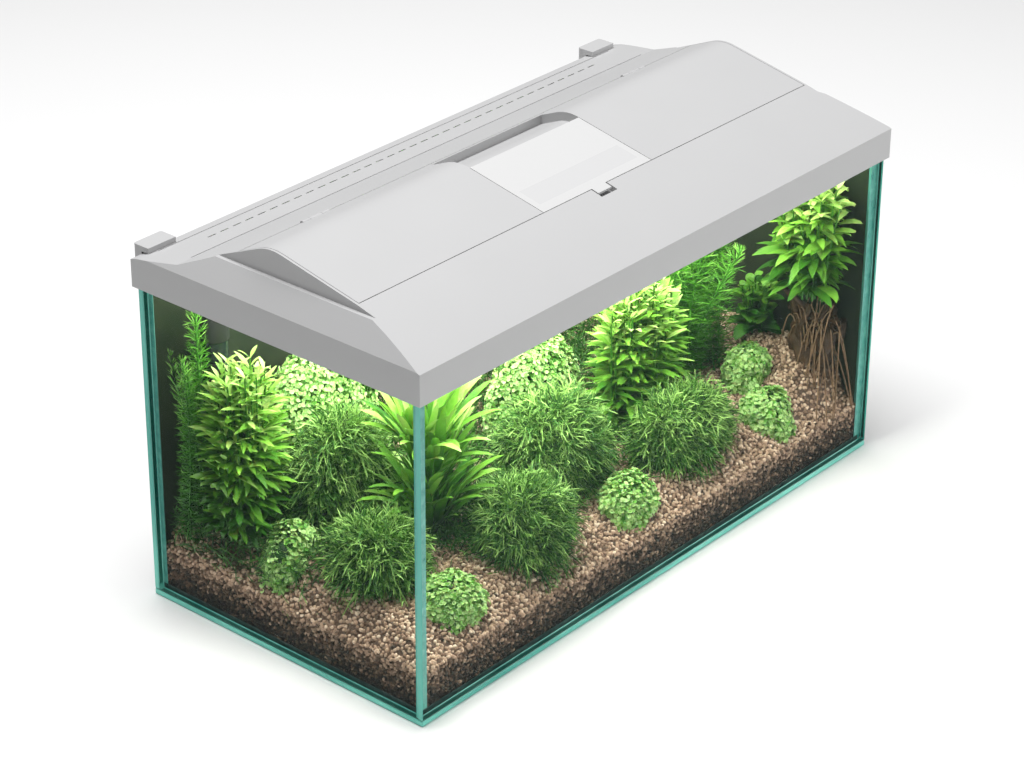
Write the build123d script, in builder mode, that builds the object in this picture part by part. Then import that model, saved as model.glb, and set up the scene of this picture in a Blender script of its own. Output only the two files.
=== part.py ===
"""Glass aquarium with a moulded hood, a hinged roof lid, a feeding flap and its planting.

Millimetres. +Z is up, +X runs along the tank, and the front pane faces -Y.
The origin is the centre of the tank's footprint, on the surface that it stands on.
"""
import os
from math import cos, radians, sqrt, tan

from build123d import *

os.makedirs("parts", exist_ok=True)

# ---- tank ----------------------------------------------------------------
tank_length = 600.0
tank_depth = 300.0
tank_height = 300.0
glass_thickness = 5.0
glass_arris = 0.6  # ground bevel along every pane edge
sealant_gap = 0.6  # silicone between two panes
sealant_bead = 6.0  # leg of the bead inside each corner
film_thickness = 0.4
film_margin = 2.0  # bare glass at the film's ends and below the skirt

# ---- hood ----------------------------------------------------------------
hood_clearance = 1.0  # between the skirt and the glass, each side
hood_wall = 2.2
skirt_drop = 15.0  # skirt below the glass rim
skirt_rise = 12.0  # skirt above the glass rim
rim_ledge_width = 7.0  # shelf that rests on the glass rim
rim_ledge_thickness = 2.0
front_panel_run = 78.7  # from the front edge back to the seam
front_panel_rise = 25.0
front_panel_bulge = 1.4
front_pitch = 11.5
rear_pitch = 23.3
ridge_radius = 40.0
shelf_run = 49.0  # low shelf along the rear edge
shelf_rise = 8.0
shelf_edge_drop = 2.0
gable_inset = 18.0  # from the hood's end to the upright gable
gable_step = 3.0
end_slope_rise = 20.0
end_slope_run = 15.0
end_lip = 1.0  # upright rim below the sloping end panel
end_fall_start = 78.0  # the end panel's top edge falls from here to the rear edge
vent_slot_length = 9.0
vent_slot_width = 1.6
vent_slot_pitch = 14.0
vent_end_margin = 62.0
vent_from_rear = 25.0
groove_width = 1.2
groove_depth = 0.6

# ---- lid and feeding flap ---------------------------------------------------
lid_wall = 2.0
seam_gap = 0.8
side_gap = 0.5
lid_hinge_from_ridge = 33.0
knuckle_radius = 2.4
knuckle_length = 8.0
lid_knuckle_length = 13.4
knuckle_gap = 0.3
hinge_station_x = 200.0
pin_radius = 1.0
pin_running = 0.05
pin_press = 0.02
seat_width = 5.0
seat_thickness = 2.0
seat_gap = 0.2  # between the lid or the flap and what it lies on
flap_width = 137.0
flap_wall = 1.8
flap_gap = 0.6
flap_ledge = 3.5
flap_axis_depth = 3.4
flap_barrel_radius = 2.6
flap_axis_before_ridge = 13.0
trough_depth = 7.6
trough_wall = 1.6
trough_lead = 2.0  # the trough starts this far in front of the flap's barrel
hinge_land = 5.0  # lid left between the flap's trough and the hinge line
cheek_wall = 2.0
tab_width = 17.0
tab_length = 6.0
pocket_width = 20.0
pocket_length = 11.0
pocket_depth = 5.0

# ---- cable ducts at the rear corners ------------------------------------------
duct_width = 30.0
duct_depth = 9.0
duct_overlap = 8.0
duct_rise = 6.0
duct_wall = 2.0
duct_from_end = 12.0
duct_fit = 0.05
cable_notch_width = 20.0
notch_clearance = 0.2

# ---- lamp ----------------------------------------------------------------------
lamp_length = 450.0
lamp_radius = 13.0
lamp_wall = 1.4
lamp_split = 3.0  # lens and housing meet this far above the lamp's axis
lamp_from_rear = 88.0
lamp_above_rim = 13.0
lamp_cap_length = 14.0
lamp_cap_radius = 14.6
led_bar_width = 16.0
led_bar_thickness = 1.6
led_size = 3.5
led_pitch = 14.0
holder_width = 34.0
holder_length = 10.0
holder_height = 32.0
holder_fit = 0.1

# ---- internal filter --------------------------------------------------------------
filter_from_right = 66.0
filter_width = 52.0
filter_depth = 44.0
filter_bottom = 118.0
filter_canister_height = 72.0
filter_head_height = 42.0
filter_wall = 2.0
filter_glass_gap = 9.0  # space for the suction cups
intake_slots = 6
intake_pitch = 8.0
intake_slot_height = 3.0
intake_slot_length = 31.0
sponge_gap = 0.2
impeller_bore_radius = 8.0
impeller_hub_radius = 5.0
impeller_radius = 7.4
impeller_height = 16.0
impeller_blades = 4
impeller_blade_thickness = 1.4
impeller_tip_trim = 0.2
nozzle_radius = 8.0
nozzle_length = 24.0
nozzle_collar = 6.0
nozzle_step = 1.0
nozzle_wall = 1.2
nozzle_mouth = (10.0, 4.5)
nozzle_gap = 0.1
cup_radius = 13.0

# ---- heater ---------------------------------------------------------------------------
heater_from_left = 52.0
heater_glass_gap = 14.0
heater_radius = 11.0
heater_wall = 1.2
heater_end_round = 8.8
heater_end_thickness = 6.7
heater_bottom = 110.0
heater_tube_height = 120.0
heater_cap_height = 26.0
heater_dial_radius = 8.0
heater_dial_height = 7.0
heater_dial_gap = 0.1
heater_dial_flutes = 12

# ---- bed and planting: floor positions are shares of the inner half length and half depth ----
substrate_height = 33.0
gravel_front_height = 40.0
gravel_bank_run = 34.0
gravel_plateau_height = 62.0
gravel_rear_height = 90.0
gravel_right_height = 102.0
gravel_right_run = 95.0
gravel_bank_back = 0.25  # the right bank ends at this share of the half depth, behind the middle
bed_clearance = 0.4
plant_foot_share = 0.9  # a clump's foot is this much of its widest level

# name: (x share, y share, x radius share, y radius share, top height share, how wide it stays at the top,
#        foot height share, for what grows on another piece and not in the bed)
planting = {
    "moss_mound_left": (-0.800, -0.317, 0.125, 0.234, 0.400, 0.62, 0.000),
    "moss_mound_front": (-0.400, -0.669, 0.149, 0.234, 0.407, 0.62, 0.000),
    "moss_mound_centre_left": (-0.644, 0.262, 0.149, 0.228, 0.550, 0.62, 0.000),
    "moss_mound_centre": (-0.108, -0.386, 0.197, 0.255, 0.507, 0.62, 0.000),
    "moss_mound_right": (0.312, -0.662, 0.190, 0.179, 0.400, 0.62, 0.000),
    "carpet_clump_left": (-0.892, 0.172, 0.097, 0.165, 0.323, 0.55, 0.000),
    "carpet_clump_corner": (-0.749, -0.759, 0.103, 0.175, 0.280, 0.55, 0.000),
    "carpet_clump_front": (-0.020, -0.800, 0.105, 0.155, 0.283, 0.55, 0.000),
    "carpet_clump_right": (0.664, -0.786, 0.100, 0.166, 0.283, 0.55, 0.000),
    "carpet_clump_bank": (0.766, -0.470, 0.095, 0.145, 0.340, 0.55, 0.000),
    "carpet_mound": (-0.502, 0.710, 0.251, 0.207, 0.620, 0.60, 0.000),
    "carpet_mound_centre": (0.088, 0.097, 0.203, 0.172, 0.527, 0.60, 0.000),
    "lance_leaf_bush": (-0.885, 0.538, 0.105, 0.172, 0.800, 0.85, 0.000),
    "strap_leaf_plant": (-0.536, -0.200, 0.129, 0.186, 0.787, 0.85, 0.000),
    "lance_leaf_stand": (0.353, -0.276, 0.169, 0.166, 0.713, 0.85, 0.000),
    "feathery_stems_right": (0.695, -0.186, 0.146, 0.117, 0.940, 0.95, 0.000),
    "feathery_stems_rear": (0.210, 0.745, 0.298, 0.166, 0.907, 0.95, 0.000),
    "round_leaf_plant": (0.922, -0.290, 0.064, 0.117, 0.500, 0.85, 0.000),
    "driftwood_root": (0.939, -0.703, 0.051, 0.221, 0.500, 0.80, 0.000),
    "broad_leaf_plant": (0.908, -0.690, 0.078, 0.276, 0.947, 0.95, 0.507),
}
corner_plant_gap = 3.8  # from the stems in the rear left corner to the pane and to the heater's clips

# ---- derived sizes -------------------------------------------------------------------------
half_length = tank_length / 2
half_depth = tank_depth / 2
inner_half_length = half_length - glass_thickness
inner_half_depth = half_depth - glass_thickness
wall_bottom = glass_thickness + sealant_gap
corner_room = heater_from_left - glass_thickness - heater_radius - 2 * heater_wall
corner_plant = (corner_room / 2 / inner_half_length - 1, 0.862, (corner_room / 2 - corner_plant_gap) / inner_half_length)
planting["feathery_stems_left"] = (*corner_plant, 0.110, 0.940, 0.95, 0.000)
overhang = hood_clearance + hood_wall
hood_half_length = half_length + overhang
front_y = -half_depth - overhang
rear_y = half_depth + overhang
skirt_bottom = tank_height - skirt_drop
eaves_z = tank_height + skirt_rise
seam_y = front_y + front_panel_run
seam_z = eaves_z + front_panel_rise
rear_edge_z = eaves_z - shelf_edge_drop
shelf_y = rear_y - shelf_run
shelf_z = rear_edge_z + shelf_rise
front_slope = tan(radians(front_pitch))
rear_slope = tan(radians(rear_pitch))
ridge_y = (shelf_z - seam_z + rear_slope * shelf_y + front_slope * seam_y) / (front_slope + rear_slope)
ridge_z = seam_z + front_slope * (ridge_y - seam_y)
gable_half = hood_half_length - gable_inset
opening_half = gable_half - hood_wall
lid_half = opening_half - side_gap
lid_hinge_y = ridge_y + lid_hinge_from_ridge
lid_hinge_z = shelf_z + rear_slope * (shelf_y - lid_hinge_y) - lid_wall / 2 / cos(radians(rear_pitch))
frame_edge_y = lid_hinge_y + lid_wall / 2 + side_gap
flap_axis_y = ridge_y - flap_axis_before_ridge
flap_skin_z = ridge_z - front_slope * flap_axis_before_ridge
flap_axis_z = flap_skin_z - flap_axis_depth
flap_half = flap_width / 2
window_half = flap_half + flap_gap
window_rear_y = lid_hinge_y - hinge_land
trough_front_y = flap_axis_y - flap_barrel_radius - trough_lead
far = 2 * (tank_length + tank_depth + tank_height)


def save(builder, name):
    """Label a finished piece and write it as its own STEP file."""
    builder.part.label = name
    export_step(builder.part, f"parts/{name}.step")


# ---- tank glass -------------------------------------------------------------------------------
def pane(length, depth, height, centre):
    """One pane with its edges ground to a small bevel."""
    with BuildPart() as sheet:
        with Locations(centre):
            Box(length, depth, height)
        chamfer(sheet.edges(), glass_arris)
    return sheet


wall_height = tank_height - wall_bottom
wall_mid_z = wall_bottom + wall_height / 2
side_depth = 2 * (inner_half_depth - sealant_gap)
pane_y = half_depth - glass_thickness / 2
pane_x = half_length - glass_thickness / 2

base_pane = pane(tank_length, tank_depth, glass_thickness, (0, 0, glass_thickness / 2))
front_pane = pane(tank_length, glass_thickness, wall_height, (0, -pane_y, wall_mid_z))
rear_pane = pane(tank_length, glass_thickness, wall_height, (0, pane_y, wall_mid_z))
left_pane = pane(glass_thickness, side_depth, wall_height, (-pane_x, 0, wall_mid_z))
right_pane = pane(glass_thickness, side_depth, wall_height, (pane_x, 0, wall_mid_z))
save(base_pane, "base_pane")
save(front_pane, "front_pane")
save(rear_pane, "rear_pane")
save(left_pane, "left_pane")
save(right_pane, "right_pane")

# The bed of silicone under the four walls, with a bead round the inside of the floor.
with BuildPart() as base_sealant:
    with BuildSketch(Plane.XY.offset(glass_thickness)):
        Rectangle(tank_length - 2 * glass_arris, tank_depth - 2 * glass_arris)
        Rectangle(2 * inner_half_length, 2 * inner_half_depth, mode=Mode.SUBTRACT)
    extrude(amount=sealant_gap)
    with BuildSketch(Plane.XY.offset(glass_thickness)):
        Rectangle(2 * inner_half_length, 2 * inner_half_depth)
    extrude(amount=sealant_bead)
    with BuildSketch(Plane.XY.offset(glass_thickness)):
        Rectangle(2 * (inner_half_length - sealant_bead), 2 * (inner_half_depth - sealant_bead))
    extrude(amount=sealant_bead, taper=-44, mode=Mode.SUBTRACT)
save(base_sealant, "base_sealant")

# The joints in the four upright corners: a strip between the panes and a bead inside.
with BuildPart() as corner_sealant:
    for side_x in (-1, 1):
        for side_y in (-1, 1):
            with BuildSketch(Plane.XY.offset(glass_thickness + sealant_bead)):
                with BuildLine():
                    Polyline(
                        (side_x * (half_length - glass_arris), side_y * inner_half_depth),
                        (side_x * (inner_half_length - sealant_bead), side_y * inner_half_depth),
                        (side_x * inner_half_length, side_y * (inner_half_depth - sealant_bead)),
                        (side_x * inner_half_length, side_y * (inner_half_depth - sealant_gap)),
                        (side_x * (half_length - glass_arris), side_y * (inner_half_depth - sealant_gap)),
                        close=True,
                    )
                make_face()
            extrude(amount=tank_height - glass_arris - glass_thickness - sealant_bead)
save(corner_sealant, "corner_sealant")

# Dark film on the outside, wrapped round the rear and right panes.
with BuildPart() as background_film:
    film_height = skirt_bottom - wall_bottom - film_margin
    with BuildSketch(Plane.XY.offset(wall_bottom)):
        with BuildLine():
            Polyline(
                (-half_length + film_margin, half_depth),
                (-half_length + film_margin, half_depth + film_thickness),
                (half_length + film_thickness, half_depth + film_thickness),
                (half_length + film_thickness, -half_depth + film_margin),
                (half_length, -half_depth + film_margin),
                (half_length, half_depth),
                close=True,
            )
        make_face()
    extrude(amount=film_height)
save(background_film, "background_film")


# ---- bed ------------------------------------------------------------------------------------------
# Dark soil layer, bevelled where the silicone beads run.
bed_half_length = inner_half_length - bed_clearance
bed_half_depth = inner_half_depth - bed_clearance
bed_bottom = glass_thickness
bed_mid = bed_bottom + substrate_height
bed_corner = sealant_bead + 2 * sealant_gap

with BuildPart() as substrate_layer:
    with BuildSketch(Plane.XY.offset(bed_bottom)):
        Rectangle(2 * bed_half_length, 2 * bed_half_depth)
        chamfer(vertices(), bed_corner)
    extrude(amount=substrate_height)
    chamfer(faces().sort_by(Axis.Z)[0].edges(), bed_corner)
save(substrate_layer, "substrate_layer")


def bed_block(top_points, plane, reach):
    """A straight bank of gravel: the area under top_points, extruded to both sides."""
    with BuildPart() as bank:
        with BuildSketch(plane):
            with BuildLine():
                Polyline(*top_points, close=True)
            make_face()
        extrude(amount=reach, both=True)
    return bank.part


# Brown gravel on the soil: low along the front and left panes, a plateau that climbs to the
# rear, and a bank against the right pane.
bank_front_y = -bed_half_depth + gravel_bank_run
bank_left_x = -bed_half_length + gravel_bank_run
with BuildPart() as gravel_bed:
    add(bed_block(
        [(-bed_half_depth, bed_mid), (-bed_half_depth, gravel_front_height),
         (bank_front_y, gravel_plateau_height), (bed_half_depth, gravel_rear_height),
         (bed_half_depth, bed_mid)],
        Plane.YZ, bed_half_length))
    with BuildSketch(Plane.XZ.offset(-gravel_bank_back * bed_half_depth)):
        with BuildLine():
            Polyline(
                (bed_half_length - gravel_right_run, bed_mid),
                (bed_half_length - gravel_right_run, gravel_plateau_height),
                (bed_half_length, gravel_right_height),
                (bed_half_length, bed_mid),
                close=True,
            )
        make_face()
    extrude(amount=(1 + gravel_bank_back) * bed_half_depth - gravel_bank_run / 2)
    add(bed_block(
        [(-bed_half_length - 1, far), (-bed_half_length - 1, gravel_front_height),
         (-bed_half_length, gravel_front_height), (bank_left_x, gravel_rear_height + 1),
         (bank_left_x, far)],
        Plane.XZ, far), mode=Mode.SUBTRACT)
    with BuildSketch(Plane.XY):
        Rectangle(2 * bed_half_length, 2 * bed_half_depth)
        chamfer(vertices(), bed_corner)
    extrude(amount=tank_height, mode=Mode.INTERSECT)
save(gravel_bed, "gravel_bed")


# ---- planting -----------------------------------------------------------------------------------------
def plant(x_share, y_share, x_radius, y_radius, top_share, crown, foot_share):
    """A clump rooted on the gravel or on the driftwood: a rounded body that narrows to its crown."""
    x = x_share * inner_half_length
    y = y_share * inner_half_depth
    top = top_share * tank_height
    foot = max(bed_mid, foot_share * tank_height)
    middle = (foot + top) / 2
    with BuildPart() as clump:
        for level, width in ((foot, plant_foot_share), (middle, 1), (top, crown)):
            with BuildSketch(Plane.XY.offset(level)):
                with Locations((x, y)):
                    Ellipse(width * x_radius * inner_half_length, width * y_radius * inner_half_depth)
        loft(ruled=True)
        add(gravel_bed.part, mode=Mode.SUBTRACT)
    return clump


for name, plan in planting.items():
    save(plant(*plan), name)


# ---- hood shell ------------------------------------------------------------------------------------------
def roof_section(inset, floor_z):
    """The hood's section across the tank (Y, Z), taken `inset` inside its skin."""
    front_mid_y = (front_y + seam_y) / 2
    front_mid_z = (eaves_z + seam_z) / 2 + front_panel_bulge
    with BuildSketch() as section:
        with BuildLine():
            Line((front_y, floor_z), (front_y, eaves_z))
            ThreePointArc((front_y, eaves_z), (front_mid_y, front_mid_z), (seam_y, seam_z))
            Polyline(
                (seam_y, seam_z), (ridge_y, ridge_z), (shelf_y, shelf_z),
                (rear_y, rear_edge_z), (rear_y, floor_z), (front_y, floor_z),
            )
        make_face()
        fillet(section.vertices().sort_by(Axis.Y)[-1], ridge_radius)
        if inset > 0:
            offset(amount=-inset)
    return section.sketch_local


def roof_band(top, bottom, y_from, y_to):
    """A strip of roof (Y, Z) between two depths below the skin."""
    low = skirt_bottom - 4 * hood_wall - bottom
    with BuildSketch() as band:
        add(roof_section(top, low))
        add(roof_section(bottom, low), mode=Mode.SUBTRACT)
        with Locations(((y_from + y_to) / 2, ridge_z)):
            Rectangle(y_to - y_from, 2 * (ridge_z - skirt_bottom), mode=Mode.INTERSECT)
    return band.sketch_local


def end_section(inset, floor_z):
    """The section of the hood's two ends, whose top edge is flat and then falls to the rear."""
    step_z = eaves_z + end_slope_rise
    fall_y = rear_y - end_fall_start
    with BuildSketch() as section:
        add(roof_section(0, floor_z))
        with BuildLine():
            Polyline(
                (front_y, ridge_z + 1), (front_y, step_z), (fall_y, step_z), (rear_y, rear_edge_z - 1),
                (rear_y + 1, rear_edge_z - 1), (rear_y + 1, ridge_z + 1), close=True,
            )
        make_face(mode=Mode.SUBTRACT)
        if inset > 0:
            offset(amount=-inset)
    return section.sketch_local


def hood_form(inset, floor_z):
    """A block with the hood's outer shape, taken `inset` inside its skin."""
    lean = end_slope_run / end_slope_rise
    shift = inset * sqrt(1 + lean**2)
    toe_z = eaves_z - 2 * hood_wall
    head_z = eaves_z + end_slope_rise
    toe_x = hood_half_length - shift + lean * (eaves_z + end_lip - toe_z)
    head_x = toe_x - lean * (head_z - toe_z)
    with BuildPart() as form:
        with BuildSketch(Plane.YZ):
            add(end_section(inset, floor_z))
        extrude(amount=hood_half_length - inset, both=True)
        for side in (-1, 1):
            with BuildSketch(Plane.XZ):
                with BuildLine():
                    Polyline(
                        (side * toe_x, toe_z), (side * head_x, head_z), (side * head_x, ridge_z + 1),
                        (side * (toe_x + 10), ridge_z + 1), (side * (toe_x + 10), toe_z), close=True,
                    )
                make_face()
            extrude(amount=far, both=True, mode=Mode.SUBTRACT)
        with BuildSketch(Plane.YZ):
            add(roof_section(inset, floor_z))
        extrude(amount=gable_half - inset, both=True)
    return form.part


def cross_bar(radius, length, x, y, z, mode=Mode.ADD):
    """A round bar along X, added to or cut from the part being made."""
    with Locations((x, y, z)):
        Cylinder(radius, length, rotation=(0, 90, 0), mode=mode)


station_length = lid_knuckle_length + 2 * (knuckle_length + knuckle_gap)
frame_knuckle_offset = (lid_knuckle_length + knuckle_length) / 2 + knuckle_gap
ledge_half_length = half_length + hood_clearance
ledge_half_depth = half_depth + hood_clearance
duct_mid_x = hood_half_length - duct_from_end - duct_width / 2
shelf_slope = shelf_rise / shelf_run
vent_y = rear_y - vent_from_rear
vent_count = int(2 * (hood_half_length - vent_end_margin) // vent_slot_pitch) + 1
hood_core = hood_form(hood_wall, skirt_bottom - 4 * hood_wall)
seat_top = lid_wall + seat_gap
seat_low = seat_top + seat_thickness

with BuildPart() as hood_frame:
    add(hood_form(0, skirt_bottom))
    add(hood_core, mode=Mode.SUBTRACT)
    # opening for the lid, between the seam, the two gables and the hinge line
    with BuildSketch(Plane.YZ):
        add(roof_band(0, hood_wall, seam_y, frame_edge_y))
    extrude(amount=opening_half, both=True, mode=Mode.SUBTRACT)
    # seats under the lid's front edge and its two ends
    with BuildSketch(Plane.YZ):
        add(roof_band(hood_wall / 2, seat_low, seam_y - 2 * seat_width, seam_y))
        add(roof_band(seat_top, seat_low, seam_y, seam_y + seat_width))
    extrude(amount=opening_half, both=True)
    for side in (-1, 1):
        with BuildSketch(Plane.YZ.offset(side * (opening_half - seat_width / 2))):
            add(roof_band(seat_top, seat_low, seam_y, lid_hinge_y - 2 * knuckle_radius))
        extrude(amount=seat_width / 2, both=True)
    # finger pocket below the flap's tab
    with BuildSketch(Plane.YZ):
        add(roof_band(
            hood_wall, pocket_depth + hood_wall,
            seam_y - pocket_length - hood_wall, seam_y + hood_wall))
    extrude(amount=pocket_width / 2 + hood_wall, both=True)
    with BuildSketch(Plane.YZ):
        add(roof_band(0, pocket_depth, seam_y - pocket_length, seam_y))
    extrude(amount=pocket_width / 2, both=True, mode=Mode.SUBTRACT)
    # ledge that rests on the glass rim
    with BuildSketch(Plane.XY.offset(tank_height)):
        Rectangle(2 * ledge_half_length, 2 * ledge_half_depth)
        Rectangle(
            2 * (ledge_half_length - rim_ledge_width), 2 * (ledge_half_depth - rim_ledge_width),
            mode=Mode.SUBTRACT)
    extrude(amount=rim_ledge_thickness)
    # ventilation slots and two shallow grooves along the rear shelf
    with BuildSketch(Plane.XY.offset(shelf_z + 1)):
        with Locations((0, vent_y)):
            with GridLocations(vent_slot_pitch, 1, vent_count, 1):
                SlotOverall(vent_slot_length, vent_slot_width)
    extrude(amount=-(shelf_rise + 2 + hood_wall), mode=Mode.SUBTRACT)
    for groove_y in (shelf_y + groove_width, rear_y - duct_overlap - 2 * groove_width):
        with BuildSketch(Plane.YZ):
            add(roof_band(0, groove_depth, groove_y, groove_y + groove_width))
        extrude(amount=gable_half - gable_step, both=True, mode=Mode.SUBTRACT)
    # notches where cables leave through the corner ducts
    for side in (-1, 1):
        with BuildSketch(Plane.XY.offset(tank_height - 1)):
            with Locations((side * duct_mid_x, rear_y - duct_overlap / 2 + duct_wall / 2)):
                Rectangle(cable_notch_width, duct_overlap - duct_wall + notch_clearance)
        extrude(amount=skirt_rise + shelf_rise + 2, mode=Mode.SUBTRACT)
        with BuildSketch(Plane.XY.offset(tank_height - 1)):
            with Locations((side * duct_mid_x, ledge_half_depth - rim_ledge_width / 2)):
                Rectangle(cable_notch_width, rim_ledge_width + 1)
        extrude(amount=rim_ledge_thickness + 2, mode=Mode.SUBTRACT)
    # hinge knuckles on the roof's rear half
    for station in (-hinge_station_x, hinge_station_x):
        cross_bar(
            knuckle_radius + knuckle_gap, lid_knuckle_length + 2 * knuckle_gap,
            station, lid_hinge_y, lid_hinge_z, Mode.SUBTRACT)
        for side in (-1, 1):
            cross_bar(
                knuckle_radius, knuckle_length,
                station + side * frame_knuckle_offset, lid_hinge_y, lid_hinge_z)
        cross_bar(
            pin_radius + pin_press, station_length + 2, station, lid_hinge_y, lid_hinge_z, Mode.SUBTRACT)
save(hood_frame, "hood_frame")

with BuildPart() as lid_hinge_pins:
    for station in (-hinge_station_x, hinge_station_x):
        cross_bar(pin_radius, station_length, station, lid_hinge_y, lid_hinge_z)
save(lid_hinge_pins, "lid_hinge_pins")

# ---- roof lid: U-shaped panel with a trough behind the feeding flap ---------------------------------------
lid_front_y = seam_y + seam_gap
trough_bottom = trough_depth + trough_wall
with BuildPart() as roof_lid:
    with BuildSketch(Plane.YZ):
        add(roof_band(0, lid_wall, lid_front_y, lid_hinge_y))
    extrude(amount=lid_half, both=True)
    cross_bar(lid_wall / 2, 2 * lid_half, 0, lid_hinge_y, lid_hinge_z)
    with BuildSketch(Plane.YZ):
        add(roof_band(0, lid_wall, lid_front_y, window_rear_y))
    extrude(amount=window_half, both=True, mode=Mode.SUBTRACT)
    # trough floor, its rear wall and the two cheeks that carry the flap's pin
    with BuildSketch(Plane.YZ):
        add(roof_band(trough_depth, trough_bottom, trough_front_y, window_rear_y + trough_wall))
    extrude(amount=window_half + cheek_wall, both=True)
    with BuildSketch(Plane.YZ):
        add(roof_band(lid_wall, trough_bottom, window_rear_y, window_rear_y + trough_wall))
    extrude(amount=window_half + cheek_wall, both=True)
    for side in (-1, 1):
        with BuildSketch(Plane.YZ.offset(side * (window_half + cheek_wall / 2))):
            add(roof_band(0, trough_bottom, trough_front_y, window_rear_y + trough_wall))
        extrude(amount=cheek_wall / 2, both=True)
        # ledge under the flap's side
        with BuildSketch(Plane.YZ.offset(side * window_half)):
            add(roof_band(lid_wall, 2 * lid_wall, lid_front_y + seat_width, trough_front_y))
        extrude(amount=flap_ledge, both=True)
    cross_bar(pin_radius + pin_press, far, 0, flap_axis_y, flap_axis_z, Mode.SUBTRACT)
    for station in (-hinge_station_x, hinge_station_x):
        for side in (-1, 1):
            cross_bar(
                knuckle_radius + knuckle_gap, knuckle_length + 2 * knuckle_gap,
                station + side * frame_knuckle_offset, lid_hinge_y, lid_hinge_z, Mode.SUBTRACT)
        cross_bar(knuckle_radius, lid_knuckle_length, station, lid_hinge_y, lid_hinge_z)
        cross_bar(
            pin_radius + pin_running, station_length, station, lid_hinge_y, lid_hinge_z, Mode.SUBTRACT)
save(roof_lid, "roof_lid")

# ---- feeding flap ---------------------------------------------------------------------------------------------
with BuildPart() as feeding_flap:
    with BuildSketch(Plane.YZ):
        add(roof_band(0, flap_wall, lid_front_y, flap_axis_y))
    extrude(amount=flap_half, both=True)
    with BuildSketch(Plane.YZ):
        add(roof_band(0, flap_wall, seam_y - tab_length, lid_front_y))
    extrude(amount=tab_width / 2, both=True)
    cross_bar(flap_barrel_radius, 2 * flap_half, 0, flap_axis_y, flap_axis_z)
    cross_bar(pin_radius + pin_running, far, 0, flap_axis_y, flap_axis_z, Mode.SUBTRACT)
save(feeding_flap, "feeding_flap")

with BuildPart() as flap_hinge_pin:
    cross_bar(pin_radius, 2 * (window_half + cheek_wall), 0, flap_axis_y, flap_axis_z)
save(flap_hinge_pin, "flap_hinge_pin")

# ---- cable ducts ------------------------------------------------------------------------------------------------------
duct_top = rear_edge_z + duct_rise
duct_lip_z = rear_edge_z + shelf_slope * duct_overlap + 2 * duct_fit
for side, name in ((-1, "cable_duct_left"), (1, "cable_duct_right")):
    with BuildPart() as cable_duct:
        with BuildSketch(Plane.XY.offset(skirt_bottom)):
            with Locations((side * duct_mid_x, rear_y + duct_fit + duct_depth / 2)):
                Rectangle(duct_width, duct_depth)
        extrude(amount=duct_top - skirt_bottom)
        with BuildSketch(Plane.XY.offset(duct_lip_z)):
            with Locations((side * duct_mid_x, rear_y + duct_fit - duct_overlap / 2)):
                Rectangle(duct_width, duct_overlap)
        extrude(amount=duct_top - duct_lip_z)
        fillet(cable_duct.edges().filter_by(Axis.Z).group_by(Axis.Y)[-1], duct_wall)
        with BuildSketch(Plane.XY.offset(skirt_bottom - 1)):
            with Locations((side * duct_mid_x, rear_y + (duct_depth - duct_overlap) / 2)):
                Rectangle(duct_width - 2 * duct_wall, duct_depth + duct_overlap - 2 * duct_wall)
        extrude(amount=duct_top - duct_wall - skirt_bottom + 1, mode=Mode.SUBTRACT)
    save(cable_duct, name)

# ---- lamp ------------------------------------------------------------------------------------------------------------------
lamp_y = rear_y - lamp_from_rear
lamp_z = tank_height + lamp_above_rim
cap_x = lamp_length / 2 + lamp_cap_length / 2


def lamp_tube(above):
    """The half of the lamp's tube above or below its parting line."""
    with BuildPart() as tube:
        with BuildSketch(Plane.YZ):
            with Locations((lamp_y, lamp_z)):
                Circle(lamp_radius)
                Circle(lamp_radius - lamp_wall, mode=Mode.SUBTRACT)
            height = 2 * lamp_radius
            centre_z = lamp_z + lamp_split + (height / 2 if above else -height / 2)
            with Locations((lamp_y, centre_z)):
                Rectangle(height, height, mode=Mode.INTERSECT)
        extrude(amount=lamp_length / 2, both=True)
    return tube


save(lamp_tube(True), "lamp_housing")
save(lamp_tube(False), "lamp_lens")

led_bar_z = lamp_z + lamp_split + led_bar_thickness
with BuildPart() as led_board:
    with Locations((0, lamp_y, led_bar_z)):
        Box(lamp_length - 2 * lamp_cap_length, led_bar_width, led_bar_thickness)
    with Locations((0, lamp_y, led_bar_z - led_bar_thickness)):
        with GridLocations(led_pitch, 1, int((lamp_length - 3 * lamp_cap_length) // led_pitch), 1):
            Box(led_size, led_size, led_bar_thickness)
save(led_board, "led_board")

with BuildPart() as lamp_caps:
    for side in (-1, 1):
        cross_bar(lamp_cap_radius, lamp_cap_length, side * cap_x, lamp_y, lamp_z)
    fillet(lamp_caps.faces().sort_by(Axis.X)[0].edges(), lamp_wall)
    fillet(lamp_caps.faces().sort_by(Axis.X)[-1].edges(), lamp_wall)
save(lamp_caps, "lamp_caps")

with BuildPart() as lamp_holders:
    for side in (-1, 1):
        with Locations((side * cap_x, lamp_y, lamp_z + lamp_cap_radius)):
            Box(holder_length, holder_width, holder_height)
    cross_bar(lamp_cap_radius + holder_fit, far, 0, lamp_y, lamp_z, Mode.SUBTRACT)
    add(hood_core, mode=Mode.INTERSECT)
save(lamp_holders, "lamp_holders")

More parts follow.
